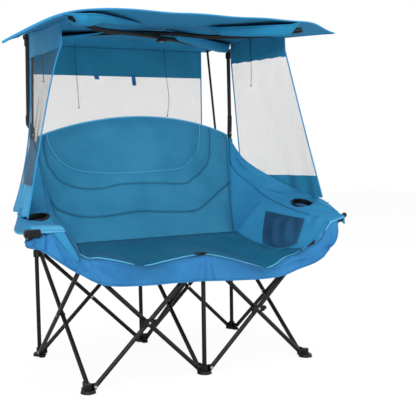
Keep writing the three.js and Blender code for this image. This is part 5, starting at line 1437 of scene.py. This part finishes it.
u, v = grid(220, 110)
x = mix(REAR_LEFT, REAR_RIGHT, u)
y = REAR_Y + 7 * v * np.sin(2 * math.pi * x / 210) + 1.5 * v * np.sin(x / 23)
rear_mid = np.stack([x, y, mix(roof_seam_z(x, np.full_like(x, REAR_Y)), REAR_LOW_Z, v)], -1)
rear_flat = surface(rear_mid)
rear_flat["slot"] = np.where(face_middles(rear_flat)[:, 2] > REAR_BAND_Z, 1, 0)
rear_curtain = piece("rear_curtain_net", [rear_flat] + bindings(rear_mid, 2, WIDE_BINDING),
                     [curtain_net, band_cloth, trim_cloth], "back_middle_post", ["rear_curtain"],
                     thickness=0.8)
flat, area = sheet_facts(rear_mid)
tabs = piece("curtain_tabs", [surface(strip(-151, -128, 1256, 1234)), surface(strip(42, 62, 1258, 1209))],
             [outer_cloth], "back_middle_post", thickness=1.6)

# %% [markdown]
# The side curtains hang beside the posts and flare out over the arms. A cloth simulation could hang them, but
# it would not flare them as in the photograph. The flare is instead a blend of a lean at the back and one at
# the front, with waves that grow towards the hem. Only the left one has the deeper waves.

# %% Side curtains
SIDE_TOP_X, FLARE_FRONT, FLARE_BACK = 512.0, 166.0, {-1: 94.0, 1: 56.0}
REAR_HANG, FRONT_HANG = {-1: 2.6, 1: 1.0}, {-1: 0.78, 1: 1.0}
SIDE_LOW_Z, SIDE_BACK_Y = {-1: 658.0, 1: 675.0}, {-1: 260.0, 1: 296.0}
SIDE_FRONT_Y, SIDE_LEAN = -140.0, 52.0
BAND_SHARE, BAND_Z, BAND_SLOPE, LOW_BAND_Z = 0.13, {-1: -6, 1: 0}, 0.028, 770


def side_curtain_point(u, v, sign):
    """Straight down for the band's height, then flaring out more towards the front, with upright waves."""
    y = mix(SIDE_BACK_Y[sign], SIDE_FRONT_Y - SIDE_LEAN * v, u)
    top_x = np.full_like(y, SIDE_TOP_X)
    z = mix(roof_seam_z(sign * top_x, y), SIDE_LOW_Z[sign], v)
    below = np.clip((v - BAND_SHARE) / (1 - BAND_SHARE), 0, 1)
    spread = smooth(1.7 * u) if sign > 0 else u
    flare = mix(FLARE_BACK[sign] * below ** REAR_HANG[sign], FLARE_FRONT * below ** FRONT_HANG[sign], spread)
    wave = 6 * v * np.sin(2 * math.pi * y / 130) + 1.2 * v * np.sin(y / 17)
    if sign < 0:
        deep = 9 * np.sin(2 * math.pi * y / 92 + 1.5 * v) + 4 * np.sin(y / 9)
        wave = wave + np.sin(math.pi * u) * below * deep
    return np.stack([sign * (top_x + flare + wave), y, z], -1)


for side, sign in SIDES:
    points = side_curtain_point(*grid(120, 150), sign)
    net_part = surface(points)
    _, face_y, face_z = face_middles(net_part).T
    upper = 1303 + BAND_SLOPE * (face_y - 100) + BAND_Z[sign]
    net_part["slot"] = np.where(face_z > upper, 1, np.where(face_z < LOW_BAND_Z, 2, 0))
    # The left curtain's bands take the paler copy of the band cloth: painted light.
    band = painted_light_band if sign < 0 else band_cloth
    made = piece(f"side_curtain_{side}_net", [net_part] + bindings(points, 3, 2.4),
                 [curtain_net, band, band, trim_cloth], f"back_{side}_post", [f"side_curtain_{side}"],
                 thickness=0.8)
    flat, area = sheet_facts(points)

# %% [markdown]
# The object stands on a pale floor in front of white. The lamps are large and soft, as in a product studio.
# A white world would light the cloth from all sides, so only the camera and reflections see the white, and
# everything else gets a weaker grey.

# %% Light, floor and background
def area_lamp(name, place, target, size, power):
    """A square lamp at a place, turned so that it shines on its target."""
    data = bpy.data.lights.new(name, "AREA")
    data.shape = "SQUARE"
    data.size = size
    data.energy = power
    lamp = bpy.data.objects.new(name, data)
    bpy.context.scene.collection.objects.link(lamp)
    back = unit(np.array(place, float) - np.array(target, float))
    right = unit(np.cross([0.0, 0.0, 1.0], back))
    axes = np.eye(4)
    axes[:3, :3] = np.stack([right, np.cross(back, right), back], 1)
    axes[:3, 3] = place
    lamp.matrix_world = Matrix(axes.tolist())
    return lamp


area_lamp("key", (-2.6, -3.2, 3.0), (0.0, 0.1, 0.7), 1.8, 118.0)
area_lamp("fill", (3.2, -2.6, 1.8), (0.0, 0.2, 0.7), 2.8, 38.0)
area_lamp("top", (0.2, 0.6, 4.2), (0.0, 0.3, 0.9), 2.2, 72.0)

AMBIENT, BACKGROUND = 0.48, 1.0
FLOOR_TONE, FLOOR_GLOW, GLOW_SHARE = 0.86, 1.06, 0.86
FLOOR_HALF, FLOOR_Z = 9, -0.0005
WHITE = (1, 1, 1, 1)
world = bpy.data.worlds.new("studio")
bpy.context.scene.world = world
world.use_nodes = True
tree = world.node_tree
tree.nodes.clear()
paths = node(tree, "ShaderNodeLightPath").outputs
seen = maths(tree, "ADD", paths["Is Camera Ray"], paths["Is Glossy Ray"])
seen = maths(tree, "ADD", seen, paths["Is Transmission Ray"], use_clamp=True)
ambient, white = (node(tree, "ShaderNodeBackground", {"Color": WHITE, "Strength": strength}).outputs[0]
                  for strength in (AMBIENT, BACKGROUND))
chosen = node(tree, "ShaderNodeMixShader", {0: seen, 1: ambient, 2: white})
node(tree, "ShaderNodeOutputWorld", {"Surface": chosen.outputs[0]})

floor_finish, tree, shader = new_finish("pale_floor", 0.9)
shader.inputs["Base Color"].default_value = (FLOOR_TONE, FLOOR_TONE, FLOOR_TONE, 1)
glow = node(tree, "ShaderNodeEmission", {"Color": WHITE, "Strength": FLOOR_GLOW}).outputs[0]
share = maths(tree, "MULTIPLY", node(tree, "ShaderNodeLightPath").outputs["Is Camera Ray"], GLOW_SHARE)
blend = node(tree, "ShaderNodeMixShader", {0: share, 1: shader.outputs[0], 2: glow})
tree.links.new(blend.outputs[0], tree.nodes["Material Output"].inputs["Surface"])
floor_mesh = bpy.data.meshes.new("floor")
floor_corners = [(x * FLOOR_HALF, y * FLOOR_HALF, FLOOR_Z) for x, y in ((-1, -1), (1, -1), (1, 1), (-1, 1))]
floor_mesh.from_pydata(floor_corners, [], [(0, 1, 2, 3)])
floor_mesh.materials.append(floor_finish)
floor = bpy.data.objects.new("floor", floor_mesh)
bpy.context.scene.collection.objects.link(floor)
bpy.context.scene.view_settings.view_transform = "Standard"
print("lamps, background and floor ready")

# %% [markdown]
# When the frame folds, the posts close up to a quarter of their spacing, and real cloth crumples between
# them. Shape keys could fold every piece by hand. Here the cloth pieces, the rear cords, the arms with their
# trims and cups, the net pocket and the tape loop only get meshes of their own.

# %% Own meshes for the cloth pieces
rear_cords = [part for pair in cords[2:] for part in pair]
for made in [seat_pad, skirt, back_pad, roof, rear_curtain, tabs] + roof_pockets + rear_cords:
    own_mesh(made)
for side, sign in SIDES:
    for name in (f"arm_pad_{side}", f"arm_trim_{side}", f"cup_rim_{side}", f"cup_cloth_{side}"):
        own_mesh(bpy.data.objects[name])
    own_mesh(bpy.data.objects[f"side_curtain_{side}_net"])
for made in (pocket, pocket_trim, bpy.data.objects["tape_loop_right"]):
    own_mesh(made)
print("squashed sideways:", 6 + len(roof_pockets) + len(rear_cords), "pieces and both side curtains")
